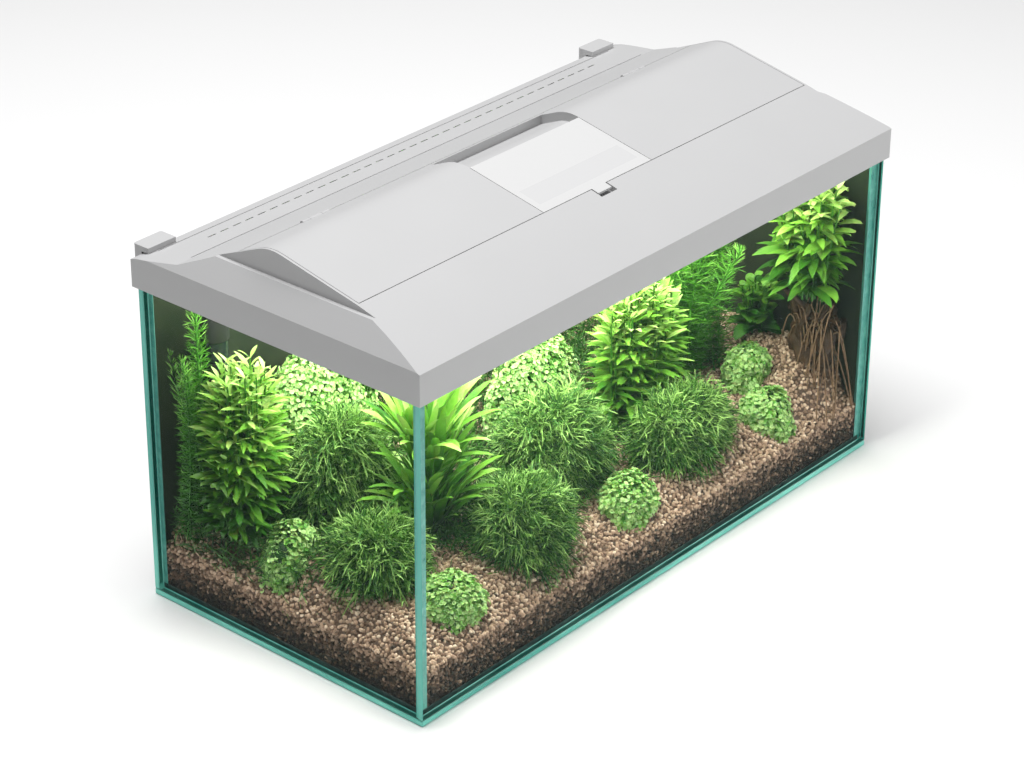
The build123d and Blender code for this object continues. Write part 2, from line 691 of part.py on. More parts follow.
# ---- internal filter -----------------------------------------------------------------------------------------------------------
filter_x = half_length - filter_from_right
filter_y = inner_half_depth - filter_glass_gap - filter_depth / 2
filter_split = filter_bottom + filter_canister_height
filter_top = filter_split + filter_head_height
impeller_z = filter_split + impeller_height / 2 + filter_wall
with BuildPart() as filter_canister:
    with BuildSketch(Plane.XY.offset(filter_bottom)):
        with Locations((filter_x, filter_y)):
            RectangleRounded(filter_width, filter_depth, filter_depth / 4)
    extrude(amount=filter_canister_height)
    offset(amount=-filter_wall, openings=filter_canister.faces().sort_by(Axis.Z)[-1])
    with BuildSketch(Plane.XZ.offset(-(filter_y - filter_depth / 2 + filter_wall + 1))):
        with Locations((filter_x, filter_bottom + filter_canister_height / 2)):
            with GridLocations(1, intake_pitch, 1, intake_slots):
                Rectangle(intake_slot_length, intake_slot_height)
    extrude(amount=2 * filter_wall + 2, mode=Mode.SUBTRACT)
save(filter_canister, "filter_canister")

with BuildPart() as filter_sponge:
    sponge_height = filter_canister_height - 2 * filter_wall
    with BuildSketch(Plane.XY.offset(filter_bottom + filter_wall + sponge_gap)):
        with Locations((filter_x, filter_y)):
            RectangleRounded(
                filter_width - 3 * filter_wall, filter_depth - 3 * filter_wall, filter_depth / 4 - filter_wall)
            Circle(impeller_hub_radius, mode=Mode.SUBTRACT)
    extrude(amount=sponge_height)
save(filter_sponge, "filter_sponge")

nozzle_z = impeller_z
nozzle_root_y = filter_y - filter_depth / 2
with BuildPart() as filter_head:
    with BuildSketch(Plane.XY.offset(filter_split)):
        with Locations((filter_x, filter_y)):
            RectangleRounded(filter_width, filter_depth, filter_depth / 4)
    extrude(amount=filter_head_height)
    fillet(filter_head.faces().sort_by(Axis.Z)[-1].edges(), 2 * filter_wall)
    with BuildSketch(Plane.XY.offset(filter_split)):
        with Locations((filter_x, filter_y)):
            Circle(impeller_bore_radius)
    extrude(amount=impeller_height + 2 * filter_wall, mode=Mode.SUBTRACT)
    with BuildSketch(Plane.XZ.offset(-filter_y)):
        with Locations((filter_x, nozzle_z)):
            Circle(nozzle_radius - filter_wall)
    extrude(amount=filter_depth, mode=Mode.SUBTRACT)
save(filter_head, "filter_head")

with BuildPart() as filter_impeller:
    with BuildSketch(Plane.XY.offset(impeller_z - impeller_height / 2)):
        with Locations((filter_x, filter_y)):
            Circle(impeller_hub_radius)
            with PolarLocations(0, impeller_blades):
                with Locations((impeller_radius / 2, 0)):
                    Rectangle(impeller_radius - impeller_tip_trim, impeller_blade_thickness)
    extrude(amount=impeller_height)
save(filter_impeller, "filter_impeller")

# a flattened outlet that turns in the head's face, so the stream can be aimed
nozzle_face_y = nozzle_root_y - nozzle_gap
with BuildPart() as filter_nozzle:
    with BuildSketch(Plane.XZ.offset(-nozzle_face_y)):
        with Locations((filter_x, nozzle_z)):
            Circle(nozzle_radius)
    extrude(amount=nozzle_collar)
    with BuildSketch(Plane.XZ.offset(-nozzle_face_y + nozzle_collar)):
        with Locations((filter_x, nozzle_z)):
            Circle(nozzle_radius - nozzle_step)
    with BuildSketch(Plane.XZ.offset(-nozzle_face_y + nozzle_length)):
        with Locations((filter_x, nozzle_z)):
            Ellipse(*nozzle_mouth)
    loft()
    with BuildSketch(Plane.XZ.offset(-nozzle_face_y - 1)):
        with Locations((filter_x, nozzle_z)):
            Circle(nozzle_radius - 2 * filter_wall)
    with BuildSketch(Plane.XZ.offset(-nozzle_face_y + nozzle_length + 1)):
        with Locations((filter_x, nozzle_z)):
            Ellipse(nozzle_mouth[0] - nozzle_wall, nozzle_mouth[1] - nozzle_wall)
    loft(mode=Mode.SUBTRACT)
save(filter_nozzle, "filter_nozzle")

with BuildPart() as filter_suction_cups:
    for level in (filter_bottom + filter_canister_height / 4, filter_top - filter_head_height / 3):
        with BuildSketch(Plane.XZ.offset(-inner_half_depth)):
            with Locations((filter_x, level)):
                Circle(cup_radius)
        extrude(amount=filter_glass_gap / 2, taper=40)
        with BuildSketch(Plane.XZ.offset(-inner_half_depth)):
            with Locations((filter_x, level)):
                Circle(cup_radius / 3)
        extrude(amount=filter_glass_gap)
save(filter_suction_cups, "filter_suction_cups")

# ---- heater ----------------------------------------------------------------------------------------------------------------------
heater_x = -half_length + heater_from_left
heater_y = inner_half_depth - heater_glass_gap - heater_radius
heater_cap_z = heater_bottom + heater_tube_height
heater_top = heater_cap_z + heater_cap_height
with BuildPart() as heater_tube:
    with BuildSketch(Plane.XY.offset(heater_bottom)):
        with Locations((heater_x, heater_y)):
            Circle(heater_radius)
    extrude(amount=heater_tube_height)
    fillet(heater_tube.faces().sort_by(Axis.Z)[0].edges(), heater_end_round)
    with BuildSketch(Plane.XY.offset(heater_bottom + heater_end_thickness)):
        with Locations((heater_x, heater_y)):
            Circle(heater_radius - heater_wall)
    extrude(amount=heater_tube_height, mode=Mode.SUBTRACT)
save(heater_tube, "heater_tube")

with BuildPart() as heater_element:
    with BuildSketch(Plane.XY.offset(heater_bottom + heater_radius)):
        with Locations((heater_x, heater_y)):
            Circle(heater_radius - 4 * heater_wall)
    extrude(amount=heater_tube_height - heater_radius)
save(heater_element, "heater_element")

with BuildPart() as heater_cap:
    with BuildSketch(Plane.XY.offset(heater_cap_z)):
        with Locations((heater_x, heater_y)):
            Circle(heater_radius + heater_wall)
    extrude(amount=heater_cap_height)
    fillet(heater_cap.faces().sort_by(Axis.Z)[-1].edges(), heater_wall)
save(heater_cap, "heater_cap")

with BuildPart() as heater_dial:
    with BuildSketch(Plane.XY.offset(heater_top + heater_dial_gap)):
        with Locations((heater_x, heater_y)):
            Circle(heater_dial_radius)
            with PolarLocations(heater_dial_radius, heater_dial_flutes):
                Circle(heater_wall / 2, mode=Mode.SUBTRACT)
    extrude(amount=heater_dial_height)
save(heater_dial, "heater_dial")

with BuildPart() as heater_brackets:
    for level in (heater_bottom + heater_tube_height / 4, heater_bottom + heater_tube_height * 3 / 4):
        with BuildSketch(Plane.XY.offset(level)):
            with Locations((heater_x, heater_y)):
                Circle(heater_radius + 2 * heater_wall)
                Circle(heater_radius, mode=Mode.SUBTRACT)
        extrude(amount=heater_radius)
        with BuildSketch(Plane.XZ.offset(-inner_half_depth)):
            with Locations((heater_x, level + heater_radius / 2)):
                Circle(heater_radius)
        extrude(amount=heater_glass_gap / 3, taper=40)
        with BuildSketch(Plane.XZ.offset(-inner_half_depth)):
            with Locations((heater_x, level + heater_radius / 2)):
                Circle(heater_radius / 3)
        extrude(amount=heater_glass_gap - heater_wall)
save(heater_brackets, "heater_brackets")
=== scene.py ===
import math

import bpy
import numpy as np
from mathutils import Matrix, Vector


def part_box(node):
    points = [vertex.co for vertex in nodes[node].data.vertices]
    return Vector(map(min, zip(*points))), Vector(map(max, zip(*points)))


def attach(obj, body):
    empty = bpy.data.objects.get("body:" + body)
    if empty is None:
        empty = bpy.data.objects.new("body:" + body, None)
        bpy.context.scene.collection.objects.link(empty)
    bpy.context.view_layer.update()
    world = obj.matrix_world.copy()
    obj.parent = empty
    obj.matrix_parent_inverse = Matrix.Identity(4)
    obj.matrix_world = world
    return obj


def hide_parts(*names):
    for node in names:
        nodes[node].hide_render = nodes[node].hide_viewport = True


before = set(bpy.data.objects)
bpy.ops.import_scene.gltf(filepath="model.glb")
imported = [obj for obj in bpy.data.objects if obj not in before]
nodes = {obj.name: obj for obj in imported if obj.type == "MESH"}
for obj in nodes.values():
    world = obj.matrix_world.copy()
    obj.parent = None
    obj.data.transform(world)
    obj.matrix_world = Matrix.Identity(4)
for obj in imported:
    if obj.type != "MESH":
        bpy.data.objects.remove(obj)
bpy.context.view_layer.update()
chance = np.random.default_rng(60)

# ---- Glass panes ---------------------------------------------------------------------------------
# Four walls of 5 mm float glass stand on a base sheet of the same glass. The faces are clear,
# and the ground edges look green because light runs along the sheet and leaves at the cut. The
# edges are also given a faint painted glow, as emission of their own green.
GLASS_SIDES = {"base_pane": 2, "front_pane": 1, "rear_pane": 1, "left_pane": 0, "right_pane": 0}
GLASS_FACE_ALPHA = 0.012
GLASS_EDGE_DEEP = (0.045, 0.33, 0.27, 1)
GLASS_EDGE_PALE = (0.20, 0.66, 0.54, 1)
GLASS_FACE_TINT = (0.55, 0.80, 0.74, 1)


class Shade:
    """A shader socket that takes part in sums. Each operator adds its Math node."""

    def __init__(self, tree, socket=None):
        self.tree = tree
        self.socket = socket

    def node(self, kind, settings=None, inputs=None, output=0):
        """Add a node: its settings first, then a value or a link for each socket."""
        made = self.tree.nodes.new("ShaderNode" + kind)
        for key, value in (settings or {}).items():
            if key == "stops":
                ramp = made.color_ramp
                while len(ramp.elements) < len(value):
                    ramp.elements.new(0.5)
                for stop, (place, colour) in zip(ramp.elements, value):
                    stop.position = place
                    stop.color = colour
            else:
                setattr(made, key, value)
        for key, value in (inputs or {}).items():
            if isinstance(value, Shade):
                self.tree.links.new(value.socket, made.inputs[key])
            else:
                made.inputs[key].default_value = value
        return Shade(self.tree, made.outputs[output])

    def sum(self, operation, first, second=0.0):
        return self.node("Math", {"operation": operation}, {0: first, 1: second})

    def __add__(self, other):
        return self.sum("ADD", self, other)

    def __radd__(self, other):
        return self.sum("ADD", other, self)

    def __sub__(self, other):
        return self.sum("SUBTRACT", self, other)

    def __rsub__(self, other):
        return self.sum("SUBTRACT", other, self)

    def __mul__(self, other):
        return self.sum("MULTIPLY", self, other)

    def __rmul__(self, other):
        return self.sum("MULTIPLY", other, self)

    def __gt__(self, other):
        return self.sum("GREATER_THAN", self, other)

    def __abs__(self):
        return self.sum("ABSOLUTE", self)

    def place(self):
        """Where a point is on its own mesh, in metres."""
        return self.node("TexCoord", output="Object")

    def part(self, vector, axis):
        """One of a vector's three numbers."""
        return self.node("SeparateXYZ", None, {0: vector}, axis)

    def noise(self, scale, detail=2.0, roughness=0.5, stretch=(1, 1, 1)):
        """Soft noise from 0 to 1, with `scale` features to the metre."""
        at = self.node("Mapping", None, {"Vector": self.place(), "Scale": stretch})
        sockets = {"Vector": at, "Scale": scale, "Detail": detail, "Roughness": roughness}
        return self.node("TexNoise", None, sockets)

    def ramp(self, factor, *stops):
        """Colours spread over a number from 0 to 1."""
        return self.node("ValToRGB", {"stops": stops}, {0: factor})

    def mix(self, factor, first, second):
        """Two colours mixed by a factor."""
        return self.node("Mix", {"data_type": "RGBA"}, {0: factor, 6: first, 7: second}, 2)

    def bump(self, height, depth, strength=1.0):
        """A normal bent by a height, whose full range is `depth` metres."""
        return self.node("Bump", None, {"Height": height, "Distance": depth, "Strength": strength})


def finish(name, varying, **steady):
    """A material: varying(shade) gives the sockets that change over it, steady those that don't."""
    made = bpy.data.materials.new(name)
    made.use_nodes = True
    tree = made.node_tree
    surface = tree.nodes["Principled BSDF"]
    for key, value in steady.items():
        surface.inputs[key.replace("_", " ").title().replace("Ior", "IOR")].default_value = value
    for key, value in varying(Shade(tree)).items():
        tree.links.new(value.socket, surface.inputs[key])
    return made


def coat(names, material):
    """Give CAD nodes a finish."""
    for name in names:
        for place in nodes[name].material_slots:
            place.material = material


def pane_finish(name, axis):
    def varying(shade):
        facing = abs(shade.part(shade.node("TexCoord", output="Normal"), axis))
        edge = shade.node("MapRange", None, {0: facing, 1: 0.72, 2: 0.98, 3: 1.0, 4: 0.0})
        streak = shade.noise(22, 3, stretch=(1, 1, 0.15) if axis < 2 else (0.3, 0.3, 4))
        cut = shade.ramp(streak, (0.32, GLASS_EDGE_DEEP), (0.68, GLASS_EDGE_PALE))
        return {
            "Base Color": shade.mix(edge, GLASS_FACE_TINT, cut),
            "Alpha": edge * (1 - GLASS_FACE_ALPHA) + GLASS_FACE_ALPHA,
            "Roughness": edge * 0.22 + 0.03,
            # Painted glow: the cut edges emit their own green, though no lamp is in them.
            "Emission Color": shade.mix(edge, (0, 0, 0, 1), cut),
        }

    return finish(name, varying, ior=1.52, emission_strength=0.16)


for pane, axis in GLASS_SIDES.items():
    coat([pane], pane_finish("glass_" + pane, axis))

# ---- Silicone ------------------------------------------------------------------------------------
# Silicone under and between the sheets, pulled to a bead in every inner corner. The upright
# beads are painted with the green glow of the glass edges beside them, and the floor bead is
# painted near black, as the shade it lies in under the soil.
SILICONE_UPRIGHT_EDGE_GLOW = ((0.3, (0.06, 0.30, 0.25, 1)), (0.7, (0.14, 0.46, 0.38, 1)))
SILICONE_FLOOR_SHADE = ((0.3, (0.012, 0.030, 0.026, 1)), (0.7, (0.030, 0.070, 0.060, 1)))


def silicone(name, tones):
    def varying(shade):
        wave = shade.noise(160, 3)
        return {
            "Base Color": shade.ramp(wave, *tones),
            "Roughness": wave * 0.2 + 0.22,
            "Normal": shade.bump(wave, 0.0004, 0.6),
        }

    return finish(name, varying)


# Painted light: green edge glow on the upright beads, painted shade on the floor bead.
coat(["corner_sealant"], silicone("clear_silicone_edge_glow", SILICONE_UPRIGHT_EDGE_GLOW))
coat(["base_sealant"], silicone("floor_silicone_shade", SILICONE_FLOOR_SHADE))

# ---- Background film -----------------------------------------------------------------------------
# One sheet of printed film, folded round the right rear corner and stuck to the outside of the
# rear and right panes. The print is murky olive water with pale specks.
FILM_MURK = (0.028, 0.038, 0.018, 1)
FILM_OLIVE = (0.062, 0.078, 0.036, 1)
FILM_SPECK = (0.14, 0.16, 0.08, 1)


def film(shade):
    cloud = shade.noise(9, 5, 0.6)
    speck = shade.noise(260, 2) > 0.69
    murk = shade.ramp(cloud, (0.35, FILM_MURK), (0.65, FILM_OLIVE))
    return {
        "Base Color": shade.mix(speck * 0.35, murk, FILM_SPECK),
        "Roughness": cloud * 0.2 + 0.35,
    }


coat(["background_film"], finish("printed_film", film))

# ---- Bed: soil and gravel ------------------------------------------------------------------------
# Planting soil against the glass, its grains brown near the top and painted darker towards the
# bottom, to near black, as shade; on it loose brown gravel of 2 to 4 mm, drawn up from the front
# and left panes to the rear and the right corner.
GRAIN_STEP = 0.0026
GRAIN_SIZE = 0.00185
GRAIN_DENTS = 0.22
GRAIN_SQUASH = (0.62, 1.25)
GRAIN_RIM = 0.0022
CORE_INSET = 0.0016
COVERED_SHARE = 0.62
BANK_RUN = 0.034
BED_LOW = 0.040
BED_PLATEAU = 0.062
BED_REAR = 0.089
BED_RIGHT = 0.101
RIGHT_RUN = 0.095
RIGHT_BANK_FRONT = (0.010, 0.045)
RIGHT_BANK_REAR = (0.045, 0.020)
LEFT_BANK_STRETCH = 1.3
RIPPLE = 0.0008
GRAVEL_TONES = (
    (0.0, (0.040, 0.024, 0.016, 1)),
    (0.3, (0.25, 0.155, 0.100, 1)),
    (0.6, (0.58, 0.400, 0.270, 1)),
    (1.0, (0.95, 0.77, 0.58, 1)),
)
SOIL_TONES = (
    (0.0, (0.004, 0.003, 0.003, 1)),
    (0.4, (0.030, 0.019, 0.013, 1)),
    (0.75, (0.16, 0.098, 0.062, 1)),
    (1.0, (0.50, 0.34, 0.23, 1)),
)

soil_low, soil_high = (np.array(corner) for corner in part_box("substrate_layer"))
bed_low, bed_high = (np.array(corner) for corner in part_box("gravel_bed"))


def smooth(value, start, end):
    """0 before start, 1 after end, with a soft turn between."""
    share = np.clip((value - start) / (end - start), 0, 1)
    return share * share * (3 - 2 * share)


def bed_height(x, y):
    """Height of the gravel at a place on the floor."""
    knees = (bed_low[1], bed_low[1] + BANK_RUN, bed_high[1])
    rise = np.interp(y, knees, (BED_LOW, BED_PLATEAU, BED_REAR))
    bank = BED_PLATEAU + (BED_RIGHT - BED_PLATEAU) * smooth(x, bed_high[0] - RIGHT_RUN, bed_high[0])
    start, full = (bed_low[1] + run for run in RIGHT_BANK_FRONT)
    reach = smooth(y, start, full) * smooth(y, *RIGHT_BANK_REAR)
    height = np.maximum(rise, rise + (bank - rise) * reach * (bank > rise))
    left_run = bed_low[0] + BANK_RUN * LEFT_BANK_STRETCH
    height = np.minimum(height, np.interp(x, (bed_low[0], left_run), (BED_LOW, BED_REAR)))
    ripple = np.sin(x * 83 + y * 41) + np.sin(y * 97 - x * 37 + 1.3)
    ripple = ripple + 0.6 * np.sin(x * 190 + 2.1 * np.sin(y * 120))
    return height + RIPPLE * ripple


def build(name, points, faces, tones, material, body, node_names=()):
    """A mesh piece from arrays of points, quads or triangles, and a tone for each point."""
    mesh = bpy.data.meshes.new(name)
    sides = faces.shape[1]
    mesh.vertices.add(len(points))
    mesh.vertices.foreach_set("co", np.ascontiguousarray(points, np.float32).ravel())
    mesh.loops.add(faces.size)
    mesh.loops.foreach_set("vertex_index", np.ascontiguousarray(faces, np.int32).ravel())
    mesh.polygons.add(len(faces))
    mesh.polygons.foreach_set("loop_start", np.arange(0, faces.size, sides, dtype=np.int32))
    mesh.polygons.foreach_set("use_smooth", np.ones(len(faces), bool))
    mesh.update(calc_edges=True)
    mesh.validate()
    tone = mesh.attributes.new("tone", "FLOAT", "POINT")
    tone.data.foreach_set("value", np.asarray(tones, np.float32))
    mesh.materials.append(material)
    piece = bpy.data.objects.new(name, mesh)
    bpy.context.scene.collection.objects.link(piece)
    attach(piece, body)
    if node_names:
        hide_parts(*node_names)


def toned(name, stops, speckle=0.0, **steady):
    """A material whose colour follows the tone that the mesh holds."""

    def varying(shade):
        tone = shade.node("Attribute", {"attribute_name": "tone"}, None, "Fac")
        grain = shade.noise(420, 2)
        return {
            "Base Color": shade.ramp(tone + (grain - 0.5) * speckle, *stops),
            "Normal": shade.bump(grain, 0.0006, 0.5),
        }

    return finish(name, varying, **steady)


def sheet_faces(rows, columns):
    """Quads over a grid of points."""
    corner = np.arange(rows * columns).reshape(rows, columns)
    quads = (corner[:-1, :-1], corner[1:, :-1], corner[1:, 1:], corner[:-1, 1:])
    return np.stack([q.ravel() for q in quads], 1)


def dune(name, floor_z, top, tone, material, node):
    """A closed bank of earth: a grid for its top, walls down to floor_z, and a flat underside."""
    columns, rows = 150, 76
    low, high = bed_low + CORE_INSET, bed_high - CORE_INSET
    x, y = np.meshgrid(np.linspace(low[0], high[0], columns), np.linspace(low[1], high[1], rows))
    z = top(x, y)
    ring_x = np.concatenate([[low[0]], x[0], [high[0]]])
    ring_y = np.concatenate([[low[1]], y[:, 0], [high[1]]])
    wide_x, wide_y = np.meshgrid(ring_x, ring_y)
    wide_z = np.full(wide_x.shape, floor_z)
    wide_z[1:-1, 1:-1] = z
    points = np.stack([wide_x, wide_y, wide_z], -1).reshape(-1, 3)
    faces = sheet_faces(rows + 2, columns + 2)[:, ::-1]
    corners = np.array([[0, columns + 1, (rows + 2) * (columns + 2) - 1, (rows + 1) * (columns + 2)]])
    faces = np.concatenate([faces, corners[:, ::-1]])
    build(name, points, faces, np.full(len(points), tone), material, "tank", [node])


gravel_finish = toned("brown_gravel", GRAVEL_TONES, 0.25, roughness=0.75)
soil_finish = toned("planting_soil", SOIL_TONES, 0.3, roughness=0.85)
soil_top = soil_high[2] - 0.001
gravel_foot = soil_high[2] - 0.002
# The banks under the loose grains get dark tones: painted shade for the gaps between grains.
dune("soil_core", soil_low[2], lambda x, y: x * 0 + soil_top, 0.1, soil_finish, "substrate_layer")
dune("gravel_core", gravel_foot, bed_height, 0.12, gravel_finish, "gravel_bed")

# One grain: a rounded pebble of twenty faces.
golden = (1 + 5 ** 0.5) / 2
GRAIN_POINTS = np.array(
    [(a, b * golden, 0) for a in (-1, 1) for b in (-1, 1)]
    + [(0, a, b * golden) for a in (-1, 1) for b in (-1, 1)]
    + [(b * golden, 0, a) for a in (-1, 1) for b in (-1, 1)]
) / (1 + golden ** 2) ** 0.5
near = np.linalg.norm(GRAIN_POINTS[:, None] - GRAIN_POINTS[None], axis=2)
edge = near < near[near > 0].min() * 1.01
GRAIN_FACES = []
for a in range(12):
    for b in range(a + 1, 12):
        for c in range(b + 1, 12):
            if edge[a, b] and edge[b, c] and edge[a, c]:
                p, q, r = GRAIN_POINTS[[a, b, c]]
                outward = np.dot(np.cross(q - p, r - p), p + q + r) > 0
                GRAIN_FACES.append((a, b, c) if outward else (a, c, b))
GRAIN_FACES = np.array(GRAIN_FACES)


def turns(count):
    """Random rotations, as `count` 3 by 3 matrices."""
    q = chance.normal(size=(count, 4))
    w, x, y, z = (q / np.linalg.norm(q, axis=1)[:, None]).T
    rows = [
        [1 - 2 * (y * y + z * z), 2 * (x * y - z * w), 2 * (x * z + y * w)],
        [2 * (x * y + z * w), 1 - 2 * (x * x + z * z), 2 * (y * z - x * w)],
        [2 * (x * z - y * w), 2 * (y * z + x * w), 1 - 2 * (x * x + y * y)],
    ]
    return np.array(rows).transpose(2, 0, 1)


def grains(name, at, tones, material, node):
    """Loose grains, each with its own shape, turn and tone."""
    count = len(at)
    body = GRAIN_POINTS[None] * (1 + chance.uniform(-GRAIN_DENTS, GRAIN_DENTS, (count, 12, 1)))
    body = body * chance.uniform(*GRAIN_SQUASH, (count, 1, 3)) * GRAIN_SIZE
    points = np.einsum("nij,nkj->nki", turns(count), body) + at[:, None]
    faces = GRAIN_FACES[None] + 12 * np.arange(count)[:, None, None]
    build(name, points.reshape(-1, 3), faces.reshape(-1, 3), np.repeat(tones, 12), material,
          "tank", [node])


def jittered(low, high, step):
    """Points on a loose grid."""
    a, b = np.meshgrid(np.arange(low[0], high[0], step), np.arange(low[1], high[1], step))
    spots = np.stack([a.ravel(), b.ravel()], 1)
    return np.clip(spots + chance.uniform(-0.45, 0.45, spots.shape) * step, low, high)


spots = jittered(bed_low[:2] + GRAIN_RIM, bed_high[:2] - GRAIN_RIM, GRAIN_STEP)
covered = np.zeros(len(spots), bool)
for name in nodes:
    if name.startswith(("moss_", "carpet_", "lance_", "strap_", "feathery_right")):
        low, high = (np.array(corner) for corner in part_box(name))
        away = (spots - (low + high)[:2] / 2) / ((high - low)[:2] / 2)
        covered |= (away ** 2).sum(1) < COVERED_SHARE
spots = spots[~covered]
lift = chance.uniform(-0.0006, 0.0010, len(spots))
gravel_at = np.column_stack([spots, bed_height(spots[:, 0], spots[:, 1]) + lift])
gravel_tone = np.clip(chance.normal(0.52, 0.20, len(spots)), 0, 1)
for share in range(2):
    part = slice(share, None, 2)
    grains("gravel_grains_%d" % share, gravel_at[part], gravel_tone[part], gravel_finish,
           "gravel_bed")

wall_spots = []
for length, across in ((0, 1), (1, 0)):
    low = np.array([bed_low[length] + GRAIN_RIM, soil_low[2] + GRAIN_RIM])
    high = np.array([bed_high[length] - GRAIN_RIM, BED_LOW + 0.030])
    face = jittered(low, high, GRAIN_STEP * 0.93)
    at = np.zeros((len(face), 3))
    at[:, length] = face[:, 0]
    at[:, across] = bed_low[across] + GRAIN_RIM * 0.75
    at[:, 2] = face[:, 1]
    top = bed_height(at[:, 0], at[:, 1])
    wall_spots.append(at[at[:, 2] < top])
wall_at = np.concatenate(wall_spots)
# Painted shade: the soil grains against the glass darken towards the bottom of the layer.
depth = (wall_at[:, 2] - soil_low[2]) / (soil_high[2] - soil_low[2])
wall_shaded_tone = np.clip(0.22 + 0.58 * depth ** 1.3 + chance.normal(0, 0.20, len(wall_at)), 0, 1)
grains("soil_grains", wall_at, wall_shaded_tone, soil_finish, "substrate_layer")

# ---- Driftwood -----------------------------------------------------------------------------------
# A knot of dark bog wood, set in the gravel at the right. Thin pale roots grow from its sides
# and hang down to the bed.
WOOD_TONES = (
    (0.0, (0.012, 0.007, 0.004, 1)),
    (0.55, (0.085, 0.045, 0.022, 1)),
    (1.0, (0.36, 0.22, 0.12, 1)),
)
wood_finish = toned("bog_wood", WOOD_TONES, 0.5, roughness=0.7)


def unit(vectors):
    return vectors / np.maximum(np.linalg.norm(vectors, axis=-1, keepdims=True), 1e-9)


def rods(paths, radii, sides=6):
    """Round rods along paths: (n, k, 3) points and (n, k) radii give points and quads."""
    count, steps = paths.shape[:2]
    along = unit(np.gradient(paths, axis=1))
    across = unit(np.cross(along, np.array([0.31, 0.83, 0.47])))
    third = np.cross(along, across)
    angle = np.linspace(0, 2 * np.pi, sides, endpoint=False)
    ring = (across[:, :, None] * np.cos(angle)[:, None] + third[:, :, None] * np.sin(angle)[:, None])
    points = paths[:, :, None] + ring * radii[:, :, None, None]
    grid = np.arange(steps * sides).reshape(steps, sides)
    turned = np.roll(grid, -1, axis=1)
    quads = np.stack([grid[:-1], turned[:-1], turned[1:], grid[1:]], -1).reshape(-1, 4)
    faces = quads[None] + (np.arange(count) * steps * sides)[:, None, None]
    return points.reshape(-1, 3), faces.reshape(-1, 4)


def within(points):
    """Keep wood and leaves inside the glass."""
    low = bed_low + 0.0008
    high = bed_high - 0.0008
    return np.clip(points, [low[0], low[1], 0.006], [high[0], high[1], 0.293])


def inside(name):
    """Middle of a CAD node's foot, its two half widths, its foot and its top."""
    low, high = (np.array(corner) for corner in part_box(name))
    middle = (low + high) / 2
    return middle[:2], (high - low)[:2] / 2, max(bed_height(*middle[:2]), low[2]), high[2]


WOOD_BRANCHES = 15
WOOD_ROOTS = 44
WOOD_STEPS = 12
ROOT_RADIUS = 0.0006

middle, half, foot, top = inside("driftwood_root")
share = np.linspace(0, 1, WOOD_STEPS)[None, :, None]
start = middle + chance.uniform(-0.35, 0.35, (WOOD_BRANCHES, 2)) * half
start = np.column_stack([start, np.full(WOOD_BRANCHES, foot - 0.01)])
end = middle + chance.uniform(-0.8, 0.8, (WOOD_BRANCHES, 2)) * half
end = np.column_stack([end, chance.uniform(foot + 0.03, top, WOOD_BRANCHES)])
paths = start[:, None] * (1 - share) + end[:, None] * share
bends = share * chance.uniform(4, 9, (WOOD_BRANCHES, 1, 3)) + chance.uniform(0, 6, (WOOD_BRANCHES, 1, 3))
paths = paths + 0.007 * np.sin(bends)
radii = chance.uniform(0.006, 0.011, (WOOD_BRANCHES, 1)) * (1 - 0.7 * share[..., 0])
radii = radii * (1 + 0.22 * np.sin(share[..., 0] * 23 + chance.uniform(0, 6, (WOOD_BRANCHES, 1))))
wood_points, wood_faces = rods(paths, radii, 10)
wood_tone = chance.uniform(0.2, 0.6, len(wood_points))
start = middle + chance.uniform(-0.9, 0.6, (WOOD_ROOTS, 2)) * half
start = np.column_stack([start, chance.uniform(foot + 0.02, foot + 0.06, WOOD_ROOTS)])
end = start[:, :2] + chance.uniform(-0.030, 0.018, (WOOD_ROOTS, 2))
end = within(np.column_stack([end, np.zeros(WOOD_ROOTS)]))
end[:, 2] = bed_height(end[:, 0], end[:, 1]) - 0.002
paths = start[:, None] * (1 - share) + end[:, None] * share
paths[..., 2] += 0.020 * np.sin(np.pi * share[..., 0]) * chance.uniform(0.2, 1, (WOOD_ROOTS, 1))
root_points, root_faces = rods(paths, np.full((WOOD_ROOTS, WOOD_STEPS), ROOT_RADIUS), 5)
build("driftwood_root", within(np.concatenate([wood_points, root_points])),
      np.concatenate([wood_faces, root_faces + len(wood_points)]),
      np.concatenate([wood_tone, chance.uniform(0.6, 0.95, len(root_points))]),
      wood_finish, "tank", ["driftwood_root"])

# ---- Carpet plants -------------------------------------------------------------------------------
# Low cushions of tiny round leaves, clipped into buns, with light and shade painted into
# their tone: bright yellow-green on the outer leaves where the light falls, darker green deeper
# in and at each leaf's middle, a paler rim to each leaf, and a near-black core between them.
CARPET_TONES = (
    (0.0, (0.010, 0.050, 0.006, 1)),
    (0.35, (0.060, 0.250, 0.020, 1)),
    (0.7, (0.190, 0.470, 0.060, 1)),
    (1.0, (0.540, 0.780, 0.280, 1)),
)
CARPET_LEAF = 0.0020
CORE_SHARE = 0.74
CORE_CROWN = 2.4
CORE_SINK = 0.012
carpet_finish = toned("carpet_leaves", CARPET_TONES, 0.15, roughness=0.42, subsurface_weight=0.15,
                      subsurface_scale=0.002)


